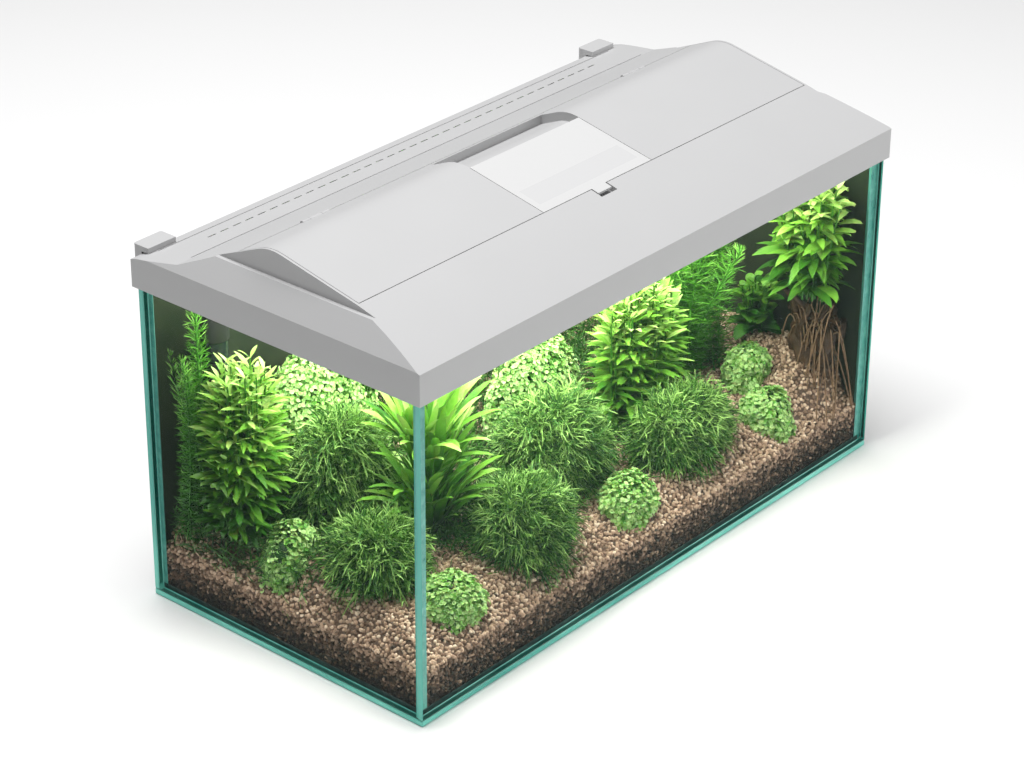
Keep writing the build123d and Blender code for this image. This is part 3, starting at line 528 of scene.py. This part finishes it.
def dome(name, count, shell, crown=2.8):
    """Points on a plant's rounded body, their outward directions, and how deep each lies (0 to 1)."""
    middle, half, foot, top = inside(name)
    turn = chance.uniform(0, 2 * np.pi, count)
    height = chance.uniform(0, 1, count) ** 0.8
    width = (1 - height ** crown) ** (1 / crown)
    phase = chance.uniform(0, 6, 2)
    lumps = 0.94 + 0.07 * np.sin(3 * turn + 4 * height + phase[0])
    lumps = lumps + 0.05 * np.sin(7 * turn - 5 * height + phase[1])
    depth = chance.uniform(0, 1, count) ** 1.6
    reach = lumps * (1 - shell * depth)
    flat = np.stack([np.cos(turn) * half[0], np.sin(turn) * half[1]], 1) * (width * reach)[:, None]
    x, y = middle[0] + flat[:, 0], middle[1] + flat[:, 1]
    base = bed_height(np.clip(x, bed_low[0], bed_high[0]), np.clip(y, bed_low[1], bed_high[1])) - 0.002
    z = base + (top - np.maximum(base, foot)) * height * (1 - shell * depth)
    out = np.stack([flat[:, 0] / half[0] ** 2, flat[:, 1] / half[1] ** 2, height ** 1.5 / (top - foot)], 1)
    return np.stack([x, y, z], 1), unit(out), depth, height


def core(name):
    """The body inside a plant, so that no light comes through it; its callers give it a near-black tone,
    painted shade.
    """
    middle, half, foot, top = inside(name)
    turn, rise = np.meshgrid(np.linspace(0, 2 * np.pi, 40), np.linspace(0, 1, 14))
    width = (1 - rise ** CORE_CROWN) ** (1 / CORE_CROWN) * CORE_SHARE
    x = middle[0] + half[0] * width * np.cos(turn)
    y = middle[1] + half[1] * width * np.sin(turn)
    z = foot - CORE_SINK + (top - foot + CORE_SINK) * rise * CORE_SHARE
    points = np.stack([x, y, z], -1).reshape(-1, 3)
    return points, sheet_faces(14, 40)


def leaf_discs(at, out, size, sides=6):
    """Small cupped round leaves facing about `out`."""
    count = len(at)
    aside = unit(np.cross(out, chance.normal(size=(count, 3))))
    other = np.cross(out, aside)
    angle = np.linspace(0, 2 * np.pi, sides, endpoint=False)
    ring = aside[:, None] * np.cos(angle)[:, None] + other[:, None] * np.sin(angle)[:, None] * 0.86
    ring = ring * size[:, None, None] + out[:, None] * (0.32 * size)[:, None, None]
    points = np.concatenate([at[:, None], at[:, None] + ring], 1)
    spoke = np.arange(1, sides + 1)
    fan = np.stack([np.zeros(sides, int), spoke, np.roll(spoke, -1)], 1)
    faces = fan[None] + (np.arange(count) * (sides + 1))[:, None, None]
    return points, faces.reshape(-1, 3)


CARPETS = {
    "carpet_clump_left": 3200,
    "carpet_clump_corner": 3200,
    "carpet_clump_front": 3200,
    "carpet_clump_right": 3200,
    "carpet_clump_bank": 3200,
    "carpet_mound": 9500,
    "carpet_mound_centre": 6500,
}
for name, count in CARPETS.items():
    at, out, depth, _ = dome(name, count, 0.22)
    at = at + chance.normal(0, 0.0010, at.shape)
    face = unit(out + chance.normal(0, 0.42, out.shape) + np.array([0, 0, 0.35]))
    points, faces = leaf_discs(at, face, CARPET_LEAF * chance.uniform(0.7, 1.15, count))
    # Painted shade: deeper leaves are darker; each leaf gets a painted dark middle and pale rim.
    light = np.clip(0.94 - 0.72 * depth + chance.normal(0, 0.13, count), 0.05, 1)
    tone = np.repeat(light[:, None], 7, 1) + np.array([-0.12] + [0.08] * 6)
    # The core's near-black tone is painted shade for the inside of the cushion.
    inner, inner_faces = core(name)
    inner_faces = np.concatenate([inner_faces[:, [0, 1, 2]], inner_faces[:, [0, 2, 3]]])
    build(name, np.concatenate([points.reshape(-1, 3), inner]),
          np.concatenate([faces, inner_faces + points.shape[0] * 7]),
          np.concatenate([tone.ravel(), np.full(len(inner), 0.02)]),
          carpet_finish, "tank", [name])

# ---- Moss mounds ---------------------------------------------------------------------------------
# Tangles of fine moss grown over hidden stones: arching threads with short side shoots. Shade
# is painted in, darker deeper in and lower down, with a near-black core; the side shoots and the
# tips are paler, partly young growth and partly painted highlight.
MOSS_TONES = (
    (0.0, (0.004, 0.014, 0.003, 1)),
    (0.35, (0.016, 0.070, 0.009, 1)),
    (0.7, (0.070, 0.230, 0.028, 1)),
    (1.0, (0.380, 0.640, 0.150, 1)),
)
moss_finish = toned("moss_threads", MOSS_TONES, 0.12, roughness=0.5)
THREAD_OUTLINE = ((0.0, 0.8), (0.35, 1.0), (0.7, 0.9), (1.0, 0.25))
THREAD_WIDTH = 0.0011
THREAD_LENGTH = (0.010, 0.031)
SHOOT_SHARE = 0.42


def blades(root, aim, face, length, width, droop, outline, fold=0.25):
    """Leaves from root along aim, bending down by `droop`, three points to each of their steps."""
    share = np.array([stop[0] for stop in outline])[None, :, None]
    wide = np.array([stop[1] for stop in outline])[None, :, None]
    aim = unit(aim)
    length = length[:, None, None]
    spine = root[:, None] + aim[:, None] * length * share
    spine = spine - np.array([0, 0, 1.0]) * length * droop[:, None, None] * share ** 2
    along = unit(np.gradient(spine, axis=1))
    side = unit(np.cross(along, face[:, None]))
    up = np.cross(side, along)
    spread = side * (0.5 * width[:, None, None] * wide)
    lift = up * (fold * width[:, None, None] * wide)
    points = np.stack([spine - spread + lift, spine, spine + spread + lift], 2)
    steps = len(outline)
    grid = np.arange(steps * 3).reshape(steps, 3)
    quads = np.stack([grid[:-1, :-1], grid[:-1, 1:], grid[1:, 1:], grid[1:, :-1]], -1).reshape(-1, 4)
    faces = quads[None] + (np.arange(len(root)) * steps * 3)[:, None, None]
    return points, faces.reshape(-1, 4), spine


def along_tone(base, count, steps, gain):
    """Tones for blades: the base tone of each, rising by `gain` to its tip."""
    rise = np.linspace(0, gain, steps)
    return (base[:, None, None] + rise[None, :, None] + np.zeros((count, steps, 3))).ravel()


def gather(lots):
    """Join several lots of (points, faces, tones) into one."""
    points, faces, tones, seen = [], [], [], 0
    for lot_points, lot_faces, lot_tones in lots:
        lot_points = lot_points.reshape(-1, 3)
        points.append(lot_points)
        faces.append(lot_faces + seen)
        tones.append(lot_tones.ravel())
        seen += len(lot_points)
    return np.concatenate(points), np.concatenate(faces), np.clip(np.concatenate(tones), 0, 1)


MOSSES = {
    "moss_mound_left": 4200,
    "moss_mound_front": 4600,
    "moss_mound_centre_left": 5400,
    "moss_mound_centre": 5400,
    "moss_mound_right": 4800,
}
for name, count in MOSSES.items():
    at, out, depth, height = dome(name, count, 0.30)
    aim = unit(out + chance.normal(0, 0.65, out.shape) + np.array([0, 0, 0.15]))
    length = chance.uniform(*THREAD_LENGTH, count)
    at = at - out * 0.009
    width = np.full(count, THREAD_WIDTH)
    face = unit(chance.normal(size=(count, 3)))
    # Painted shade and light: threads deeper in the mound are darker, and higher ones paler.
    light = np.clip(0.37 - 0.42 * depth + 0.24 * height + chance.normal(0, 0.20, count), 0, 1)
    points, faces, spine = blades(at, aim, face, length, width, chance.uniform(0.1, 0.8, count),
                                  THREAD_OUTLINE)
    lots = [(points, faces, along_tone(light, count, 4, 0.38))]
    for step, turn in ((1, 1.0), (2, -1.0)):
        bent = unit(aim + turn * 0.9 * unit(np.cross(aim, face)) + chance.normal(0, 0.25, aim.shape))
        points, faces, _ = blades(spine[:, step], bent, face, length * SHOOT_SHARE, width * 0.9,
                                  chance.uniform(0, 0.3, count), THREAD_OUTLINE)
        lots.append((points, faces, along_tone(light + 0.12, count, 4, 0.38)))
    # The core's near-black tone is painted shade for the inside of the mound.
    inner, inner_faces = core(name)
    lots.append((inner, inner_faces, np.full(len(inner), 0.05)))
    points, faces, tones = gather(lots)
    build(name, within(points), faces, tones, moss_finish, "tank", [name])

# Low moss creeps over the gravel between the mounds and behind them.
CREEPING = 9000
CREEPING_WIDTH = 0.0010
CREEPING_LENGTH = (0.012, 0.030)
CREEPING_PATCHES = (("creeping_moss_left", -0.288, -0.064), ("creeping_moss_right", -0.064, 0.200))
for name, low_x, high_x in CREEPING_PATCHES:
    x = chance.uniform(low_x, high_x, CREEPING)
    y = chance.uniform(-0.090, 0.140, CREEPING)
    wander = 0.012 * np.sin(x * 55) + 0.008 * np.sin(x * 131 + 2)
    keep = (y > -0.066 + wander + 0.9 * np.maximum(0, -0.200 - x)) & (x < 0.165 + 0.5 * y)
    at = np.column_stack([x, y, bed_height(x, y) - 0.001])[keep]
    count = len(at)
    aim = unit(chance.normal(0, 0.8, at.shape) + np.array([0, 0, 1.0]))
    length = chance.uniform(*CREEPING_LENGTH, count)
    face = unit(chance.normal(size=(count, 3)))
    light = chance.uniform(0.05, 0.42, count)
    points, faces, spine = blades(at, aim, face, length, np.full(count, CREEPING_WIDTH),
                                  chance.uniform(0.1, 0.6, count), THREAD_OUTLINE)
    # Tips and side shoots are paler, partly young growth and partly painted highlight.
    lots = [(points, faces, along_tone(light, count, 4, 0.45))]
    bent = unit(aim + 0.9 * unit(np.cross(aim, face)))
    points, faces, _ = blades(spine[:, 2], bent, face, length * 0.45, np.full(count, 0.9 * CREEPING_WIDTH),
                              np.full(count, 0.2), THREAD_OUTLINE)
    lots.append((points, faces, along_tone(light + 0.15, count, 4, 0.40)))
    points, faces, tones = gather(lots)
    build(name, within(points), faces, tones, moss_finish, "tank", [])

# ---- Leafy stem plants ---------------------------------------------------------------------------
# Stems set in bunches, each carrying pairs of leaves that cross from one joint to the next and
# end in a rosette under the lamp. The leaves are painted dark low down and pale towards the top,
# as shade below and the lamp's light above.
LEAF_TONES = (
    (0.0, (0.008, 0.040, 0.004, 1)),
    (0.35, (0.045, 0.190, 0.012, 1)),
    (0.7, (0.230, 0.520, 0.050, 1)),
    (1.0, (0.640, 0.850, 0.260, 1)),
)
LANCE_OUTLINE = ((0.0, 0.12), (0.14, 0.5), (0.35, 0.95), (0.6, 0.9), (0.82, 0.5), (1.0, 0.05))
OVAL_OUTLINE = ((0.0, 0.1), (0.1, 0.55), (0.3, 1.0), (0.6, 1.0), (0.85, 0.6), (1.0, 0.08))


def leaf_finish(name, stops):
    """Leaf green from the mesh's tone, with a soft gloss and fine veins."""

    def varying(shade):
        tone = shade.node("Attribute", {"attribute_name": "tone"}, None, "Fac")
        vein = shade.noise(700, 2)
        patch = shade.noise(90, 2)
        return {
            "Base Color": shade.ramp(tone + (patch - 0.5) * 0.25, *stops),
            "Roughness": vein * 0.2 + 0.28,
            "Normal": shade.bump(vein, 0.0004, 0.5),
        }

    return finish(name, varying, subsurface_weight=0.12, subsurface_scale=0.002)


plant_finish = leaf_finish("plant_leaves", LEAF_TONES)


def stem_plant(name, stems, gap, leaf, width, outline, droop, spread=0.55, base=0.3, gain=0.52):
    """Bunched stems with crossed pairs of leaves, `gap` apart along each stem."""
    middle, half, foot, top = inside(name)
    lots = []
    turn = chance.uniform(0, 2 * np.pi, stems)
    reach = chance.uniform(0, 1, stems) ** 0.5
    heads = middle + np.stack([np.cos(turn), np.sin(turn)], 1) * half * reach[:, None] * 0.86
    feet = middle + (heads - middle) * spread
    tops = foot + (top - foot) * np.clip(1.0 - 0.15 * reach ** 2 - chance.uniform(0, 0.30, stems), 0.3, 1)
    tops = tops - leaf * 0.25
    steps = 8
    share = np.linspace(0, 1, steps)[None, :, None]
    start = np.column_stack([feet, np.full(stems, foot - 0.004)])[:, None]
    end = np.column_stack([heads, tops])[:, None]
    paths = start + (end - start) * share
    paths[..., :2] += (heads - feet)[:, None] * (share ** 2 - share) * 0.6
    paths = within(paths)
    rod, rod_faces = rods(paths, np.full((stems, steps), 0.0009) * (1.25 - 0.5 * share[..., 0]), 5)
    lots.append((rod, rod_faces, np.full(len(rod), 0.35)))
    for index in range(stems):
        rise = tops[index] - foot
        joints = max(3, int(rise / gap))
        at = np.repeat((np.arange(joints) + 1) / joints, 2)
        where = np.stack([np.interp(at, share[0, :, 0], paths[index, :, axis]) for axis in range(3)], 1)
        spin = turn[index] + np.arange(2 * joints) * np.pi + (np.arange(2 * joints) // 2) * 1.6
        spin = spin + chance.normal(0, 0.25, 2 * joints)
        climb = 0.25 + 0.9 * at ** 3 + chance.normal(0, 0.15, 2 * joints)
        aim = np.stack([np.cos(spin), np.sin(spin), climb], 1)
        face = unit(np.array([0, 0, 1.0]) - 0.35 * aim + chance.normal(0, 0.12, aim.shape))
        size = leaf * chance.uniform(0.75, 1.15, 2 * joints) * (1 - 0.35 * smooth(at, 0.85, 1.0))
        # Painted light and shade: leaves are darker low on the stem and paler towards the top.
        light = base + gain * at ** 1.5 + chance.normal(0, 0.10, 2 * joints)
        points, faces, _ = blades(where, aim, face, size, width * size / leaf,
                                  droop * chance.uniform(0.6, 1.4, 2 * joints), outline, 0.12)
        lots.append((points, faces, along_tone(light, 2 * joints, len(outline), 0.08)))
    points, faces, tones = gather(lots)
    build(name, within(points), faces, tones, plant_finish, "tank", [name])


stem_plant("lance_leaf_bush", 64, 0.0095, 0.028, 0.0064, LANCE_OUTLINE, 0.25, spread=0.9)
stem_plant("lance_leaf_stand", 84, 0.0100, 0.028, 0.0066, LANCE_OUTLINE, 0.25, spread=0.9)
stem_plant("broad_leaf_plant", 40, 0.0120, 0.030, 0.0095, LANCE_OUTLINE, 0.35, gain=0.65)
stem_plant("round_leaf_plant", 16, 0.0110, 0.019, 0.0115, OVAL_OUTLINE, 0.30, base=0.12, gain=0.42)

# ---- Strap-leaved plant --------------------------------------------------------------------------
# A rosette behind the moss, rooted in the gravel. Long strap leaves stand up from one crown
# and arch over under their own weight.
STRAP_OUTLINE = ((0.0, 0.45), (0.12, 0.7), (0.3, 0.95), (0.5, 1.0), (0.7, 0.9), (0.88, 0.6), (1.0, 0.06))


def rosette(name, leaves, length, width, droop):
    middle, half, foot, top = inside(name)
    turn = chance.uniform(0, 2 * np.pi, leaves)
    reach = chance.uniform(0, 1, leaves) ** 0.6
    spot = middle + np.stack([np.cos(turn), np.sin(turn)], 1) * half * 0.55 * reach[:, None]
    root = np.column_stack([spot, foot + (top - foot) * chance.uniform(0.0, 0.55, leaves)])
    lean = chance.uniform(0.25, 1.0, leaves)
    spin = turn + chance.normal(0, 0.5, leaves)
    aim = np.stack([np.cos(spin) * lean, np.sin(spin) * lean, np.ones(leaves)], 1)
    size = length * chance.uniform(0.6, 1.0, leaves)
    size = np.minimum(size, (top - root[:, 2]) * 1.15)
    face = unit(np.stack([-np.cos(spin), -np.sin(spin), 0.6 * np.ones(leaves)], 1))
    # Painted light: leaves that start higher are paler, and each leaf is painted paler towards its tip.
    light = 0.30 + 0.5 * (root[:, 2] - foot) / (top - foot) + chance.normal(0, 0.13, leaves)
    points, faces, _ = blades(root, aim, face, size, width * chance.uniform(0.7, 1.1, leaves),
                              droop * lean, STRAP_OUTLINE, 0.14)
    tones = along_tone(light, leaves, len(STRAP_OUTLINE), 0.25)
    build(name, within(points.reshape(-1, 3)), faces, tones, plant_finish, "tank", [name])


rosette("strap_leaf_plant", 150, 0.085, 0.0085, 0.42)

# ---- Feathery stems ------------------------------------------------------------------------------
# Tall soft stems with whorls of forked needles, set in the gravel in loose bunches along the
# rear glass and in the left corner.
NEEDLE_OUTLINE = ((0.0, 0.9), (0.5, 1.0), (1.0, 0.2))
NEEDLE_WIDTH = 0.0009
FORK_WIDTH = 0.00065
FEATHER_TONES = (
    (0.0, (0.008, 0.045, 0.004, 1)),
    (0.4, (0.045, 0.220, 0.010, 1)),
    (0.75, (0.150, 0.480, 0.035, 1)),
    (1.0, (0.420, 0.780, 0.160, 1)),
)
feather_finish = toned("feathery_leaves", FEATHER_TONES, 0.15, roughness=0.45)


def feathery(name, stems, gap, needle, spokes=9):
    """Upright stems with whorls of needles that fork once."""
    middle, half, foot, top = inside(name)
    turn = chance.uniform(0, 2 * np.pi, stems)
    reach = chance.uniform(0, 1, stems) ** 0.5
    heads = middle + np.stack([np.cos(turn), np.sin(turn)], 1) * half * reach[:, None] * 0.88
    tops = foot + (top - foot) * chance.uniform(0.66, 1.0, stems)
    steps = 8
    share = np.linspace(0, 1, steps)[None, :, None]
    sway = chance.normal(0, 0.007, (stems, 1, 2)) * np.sin(share * 3)
    sway = sway + chance.normal(0, 0.016, (stems, 1, 2)) * share ** 2
    paths = np.concatenate([heads[:, None] + sway, foot + (tops - foot)[:, None, None] * share], 2)
    rod, rod_faces = rods(paths, np.full((stems, steps), 0.0008), 5)
    lots = [(rod, rod_faces, np.full(len(rod), 0.4))]
    for index in range(stems):
        whorls = int((tops[index] - foot) / gap)
        at = np.repeat((np.arange(whorls) + 1) / whorls, spokes)
        where = np.stack([np.interp(at, share[0, :, 0], paths[index, :, axis]) for axis in range(3)], 1)
        count = len(at)
        spin = np.tile(np.arange(spokes) * 2 * np.pi / spokes, whorls)
        spin = spin + np.repeat(chance.uniform(0, 6, whorls), spokes)
        aim = np.stack([np.cos(spin), np.sin(spin), 0.35 + 1.2 * at ** 6 + chance.normal(0, 0.15, count)], 1)
        size = needle * chance.uniform(0.8, 1.1, count) * (1 - 0.4 * smooth(at, 0.9, 1))
        face = unit(chance.normal(size=(count, 3)))
        # Painted light: whorls higher on the stem are paler, and forks and tips paler still.
        light = 0.12 + 0.55 * at + chance.normal(0, 0.12, count)
        points, faces, spine = blades(where, aim, face, size, np.full(count, NEEDLE_WIDTH),
                                      np.full(count, 0.15), NEEDLE_OUTLINE)
        lots.append((points, faces, along_tone(light, count, 3, 0.2)))
        fork = unit(aim + chance.normal(0, 0.5, aim.shape))
        points, faces, _ = blades(spine[:, 1], fork, face, size * 0.5, np.full(count, FORK_WIDTH),
                                  np.zeros(count), NEEDLE_OUTLINE)
        lots.append((points, faces, along_tone(light + 0.1, count, 3, 0.2)))
    points, faces, tones = gather(lots)
    build(name, within(points), faces, tones, feather_finish, "tank", [name])


feathery("feathery_stems_left", 7, 0.0064, 0.013)
feathery("feathery_stems_right", 24, 0.0070, 0.019)
feathery("feathery_stems_rear", 36, 0.0070, 0.015)

# ---- Hood, lid and cable ducts -------------------------------------------------------------------
# The hood is one thin moulding of light grey plastic with a fine spark-eroded grain. The roof
# lid turns on two pins, and the ducts are clipped over the rear edge.
HOOD_GREY = (0.46, 0.46, 0.463, 1)
HOOD_GREY_WORN = (0.475, 0.475, 0.478, 1)
PLASTIC_FEATURES = 900
PLASTIC_DEPTH = 0.00012


def moulded(name, base, worn, rough=0.42):
    """Moulded plastic: a fine grain, and a slow drift in colour and gloss."""

    def varying(shade):
        fine = shade.noise(PLASTIC_FEATURES, 3, 0.6)
        slow = shade.noise(14, 3)
        return {
            "Base Color": shade.mix(fine * 0.6 + slow * 0.4, base, worn),
            "Roughness": slow * 0.12 + rough,
            "Normal": shade.bump(fine, PLASTIC_DEPTH, 0.5),
        }

    return finish(name, varying)


hood_finish = moulded("hood_plastic", HOOD_GREY, HOOD_GREY_WORN)
coat(["hood_frame", "roof_lid", "cable_duct_left", "cable_duct_right"], hood_finish)

# ---- Feeding flap --------------------------------------------------------------------------------
# A flap of white moulded plastic closes the feeding opening and turns on a steel pin. A matt
# band crosses it above the lifting tab.
FLAP_WHITE = (0.56, 0.56, 0.56, 1)
FLAP_BAND = (0.525, 0.525, 0.528, 1)
FLAP_PALE = (0.59, 0.59, 0.59, 1)
BAND_FROM_TAB = 0.016
BAND_WIDTH = 0.022
BAND_HALF_LENGTH = 0.062
flap_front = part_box("feeding_flap")[0][1]


def flap(shade):
    fine = shade.noise(PLASTIC_FEATURES, 3, 0.6)
    along = shade.part(shade.place(), 1)
    start = flap_front + BAND_FROM_TAB
    band = (along > start) * (1 - (along > start + BAND_WIDTH))
    side = abs(shade.part(shade.place(), 0))
    band = band * (1 - (side > BAND_HALF_LENGTH))
    return {
        "Base Color": shade.mix(band, shade.mix(fine, FLAP_WHITE, FLAP_PALE), FLAP_BAND),
        "Roughness": band * 0.2 + 0.34,
        "Normal": shade.bump(fine, 0.0001, 0.4),
    }


coat(["feeding_flap"], finish("flap_plastic", flap))

# ---- Hinge pins ----------------------------------------------------------------------------------
# The pins that the roof lid and the flap turn on: drawn stainless wire, cut to length and
# pressed into the moulded knuckles.


def drawn_steel(shade):
    line = shade.noise(900, 2, stretch=(0.02, 1, 1))
    return {
        "Roughness": line * 0.25 + 0.15,
        "Base Color": shade.mix(line, (0.5, 0.5, 0.5, 1), (0.66, 0.66, 0.67, 1)),
    }


coat(["lid_hinge_pins", "flap_hinge_pin"], finish("drawn_steel", drawn_steel, metallic=1.0))

# ---- Lamp ----------------------------------------------------------------------------------------
# A tube lamp under the roof, held at each end: an anodised aluminium back, a clouded plastic
# lens, a board of LEDs and black end caps.


def anodised(shade):
    line = shade.noise(700, 2, stretch=(0.03, 1, 1))
    return {
        "Roughness": line * 0.2 + 0.25,
        "Base Color": shade.mix(line, (0.55, 0.56, 0.57, 1), (0.7, 0.7, 0.71, 1)),
    }


def clouded(shade):
    cloud = shade.noise(300, 3)
    return {
        "Base Color": shade.mix(cloud, (0.75, 0.78, 0.8, 1), (0.9, 0.92, 0.93, 1)),
        "Roughness": cloud * 0.15 + 0.2,
    }


def board(shade):
    cell = shade.node("TexVoronoi", None, {"Vector": shade.place(), "Scale": 260})
    return {
        "Base Color": shade.mix(cell > 0.4, (0.75, 0.76, 0.72, 1), (0.55, 0.5, 0.22, 1)),
        "Roughness": cell * 0.2 + 0.3,
    }


coat(["lamp_housing"], finish("anodised_back", anodised, metallic=0.9))
coat(["lamp_lens"], finish("clouded_lens", clouded, emission_color=(0.9, 0.95, 1, 1), emission_strength=1.2))
coat(["led_board"], finish("led_board", board))
black_finish = moulded("black_plastic", (0.012, 0.012, 0.013, 1), (0.03, 0.03, 0.032, 1), rough=0.35)
coat(["lamp_caps", "lamp_holders"], black_finish)

# ---- Filter and heater ---------------------------------------------------------------------------
# The filter is a black plastic housing round a block of foam, held to the glass by rubber cups.
# The heater is a coil in a dark glass tube, held by black plastic brackets.
COIL_WINDING = 5000


def sponge(shade):
    cell = shade.node("TexVoronoi", None, {"Vector": shade.place(), "Scale": 500})
    return {"Base Color": shade.mix(cell, (0.006, 0.012, 0.02, 1), (0.03, 0.06, 0.09, 1)),
            "Normal": shade.bump(cell, 0.002, 1.0)}


def tube_glass(shade):
    streak = shade.noise(60, 2, stretch=(1, 1, 0.2))
    return {
        "Base Color": shade.mix(streak, (0.015, 0.025, 0.024, 1), (0.04, 0.06, 0.055, 1)),
        "Alpha": streak * 0.1 + 0.6,
    }


def coil(shade):
    turn = shade.part(shade.place(), 2) * COIL_WINDING
    wave = shade.sum("SINE", turn)
    return {"Base Color": shade.mix(wave * 0.5 + 0.5, (0.35, 0.2, 0.12, 1), (0.7, 0.68, 0.64, 1)),
            "Normal": shade.bump(wave, 0.0006, 1.0)}


coat(["filter_canister", "filter_head", "filter_nozzle", "heater_cap", "heater_brackets"], black_finish)
coat(["filter_sponge"], finish("filter_sponge", sponge, roughness=0.95))
accent_finish = moulded("accent_plastic", (0.02, 0.16, 0.30, 1), (0.03, 0.22, 0.38, 1))
coat(["filter_impeller", "heater_dial"], accent_finish)
rubber_finish = moulded("suction_rubber", (0.10, 0.12, 0.12, 1), (0.16, 0.18, 0.18, 1), rough=0.5)
coat(["filter_suction_cups"], rubber_finish)
coat(["heater_tube"], finish("heater_glass", tube_glass, roughness=0.06))
coat(["heater_element"], finish("heater_coil", coil, roughness=0.5))

# ---- Floor, light and camera ---------------------------------------------------------------------
# A plain pale sweep, a soft key from above, a broad fill from the right, and a soft light under
# the hood for the lamp's own light on the planting.
FLOOR_REACH = 9
FLOOR_SINK = 0.0002
WORLD_LIGHT = 0.13
floor_corners = [(-1, -1), (1, -1), (1, 1), (-1, 1)]
floor_points = [(FLOOR_REACH * x, FLOOR_REACH * y, -FLOOR_SINK) for x, y in floor_corners]
floor_mesh = bpy.data.meshes.new("studio_floor")
floor_mesh.from_pydata(floor_points, [], [(0, 1, 2, 3)])
floor = bpy.data.objects.new("studio_floor", floor_mesh)
bpy.context.scene.collection.objects.link(floor)


def floor_gloss(shade):
    return {"Roughness": shade.noise(3) * 0.1 + 0.85}


floor_mesh.materials.append(finish("pale_floor", floor_gloss, base_color=(0.82, 0.82, 0.82, 1)))


def soft_light(name, place, aim, width, height, watts, colour=(1, 1, 1), seen=True):
    lamp = bpy.data.lights.new(name, "AREA")
    lamp.shape = "RECTANGLE"
    lamp.size = width
    lamp.size_y = height
    lamp.energy = watts
    lamp.color = colour
    holder = bpy.data.objects.new(name, lamp)
    bpy.context.scene.collection.objects.link(holder)
    holder.location = place
    holder.rotation_euler = (Vector(aim) - Vector(place)).to_track_quat("-Z", "Y").to_euler()
    holder.visible_camera = False
    holder.visible_glossy = seen


soft_light("key_light", (-0.2, 0.4, 2.7), (0, 0, 0.1), 2.0, 2.0, 100)
soft_light("fill_light", (1.7, -2.3, 1.0), (0, 0, 0.2), 2.4, 1.6, 40)
soft_light("lamp_light", (0, 0.0, 0.2965), (0, 0, 0), 0.56, 0.26, 3.7, (0.97, 1.0, 0.93), False)

world = bpy.data.worlds.new("studio")
bpy.context.scene.world = world
world.use_nodes = True
world.node_tree.nodes["Background"].inputs["Color"].default_value = (1, 1, 1, 1)
world.node_tree.nodes["Background"].inputs["Strength"].default_value = WORLD_LIGHT

AIM = Vector((0, 0, 0.180))
AZIMUTH = -49.613
ELEVATION = 28.015
ROLL = 0.406
SIDEWAYS = -0.012714
UPWARD = -0.044089
DISTANCE = 2.57203
LENS = 107.09
a, e, r = (math.radians(angle) for angle in (AZIMUTH, ELEVATION, ROLL))
back = Vector((math.sin(a) * math.cos(e), -math.cos(a) * math.cos(e), math.sin(e)))
level = Vector((0, 0, 1)).cross(back).normalized()
upright = back.cross(level)
right = math.cos(r) * level + math.sin(r) * upright
up = -math.sin(r) * level + math.cos(r) * upright
place = AIM + SIDEWAYS * right + UPWARD * up + DISTANCE * back
turn = Matrix((right, up, back)).transposed()
camera_data = bpy.data.cameras.new("camera")
camera_data.lens = LENS
camera_data.sensor_width = 36.0
camera_data.clip_end = 50
camera = bpy.data.objects.new("camera", camera_data)
camera.matrix_world = Matrix.Translation(place) @ turn.to_4x4()
bpy.context.scene.collection.objects.link(camera)
bpy.context.scene.camera = camera
bpy.context.scene.view_settings.view_transform = "Standard"
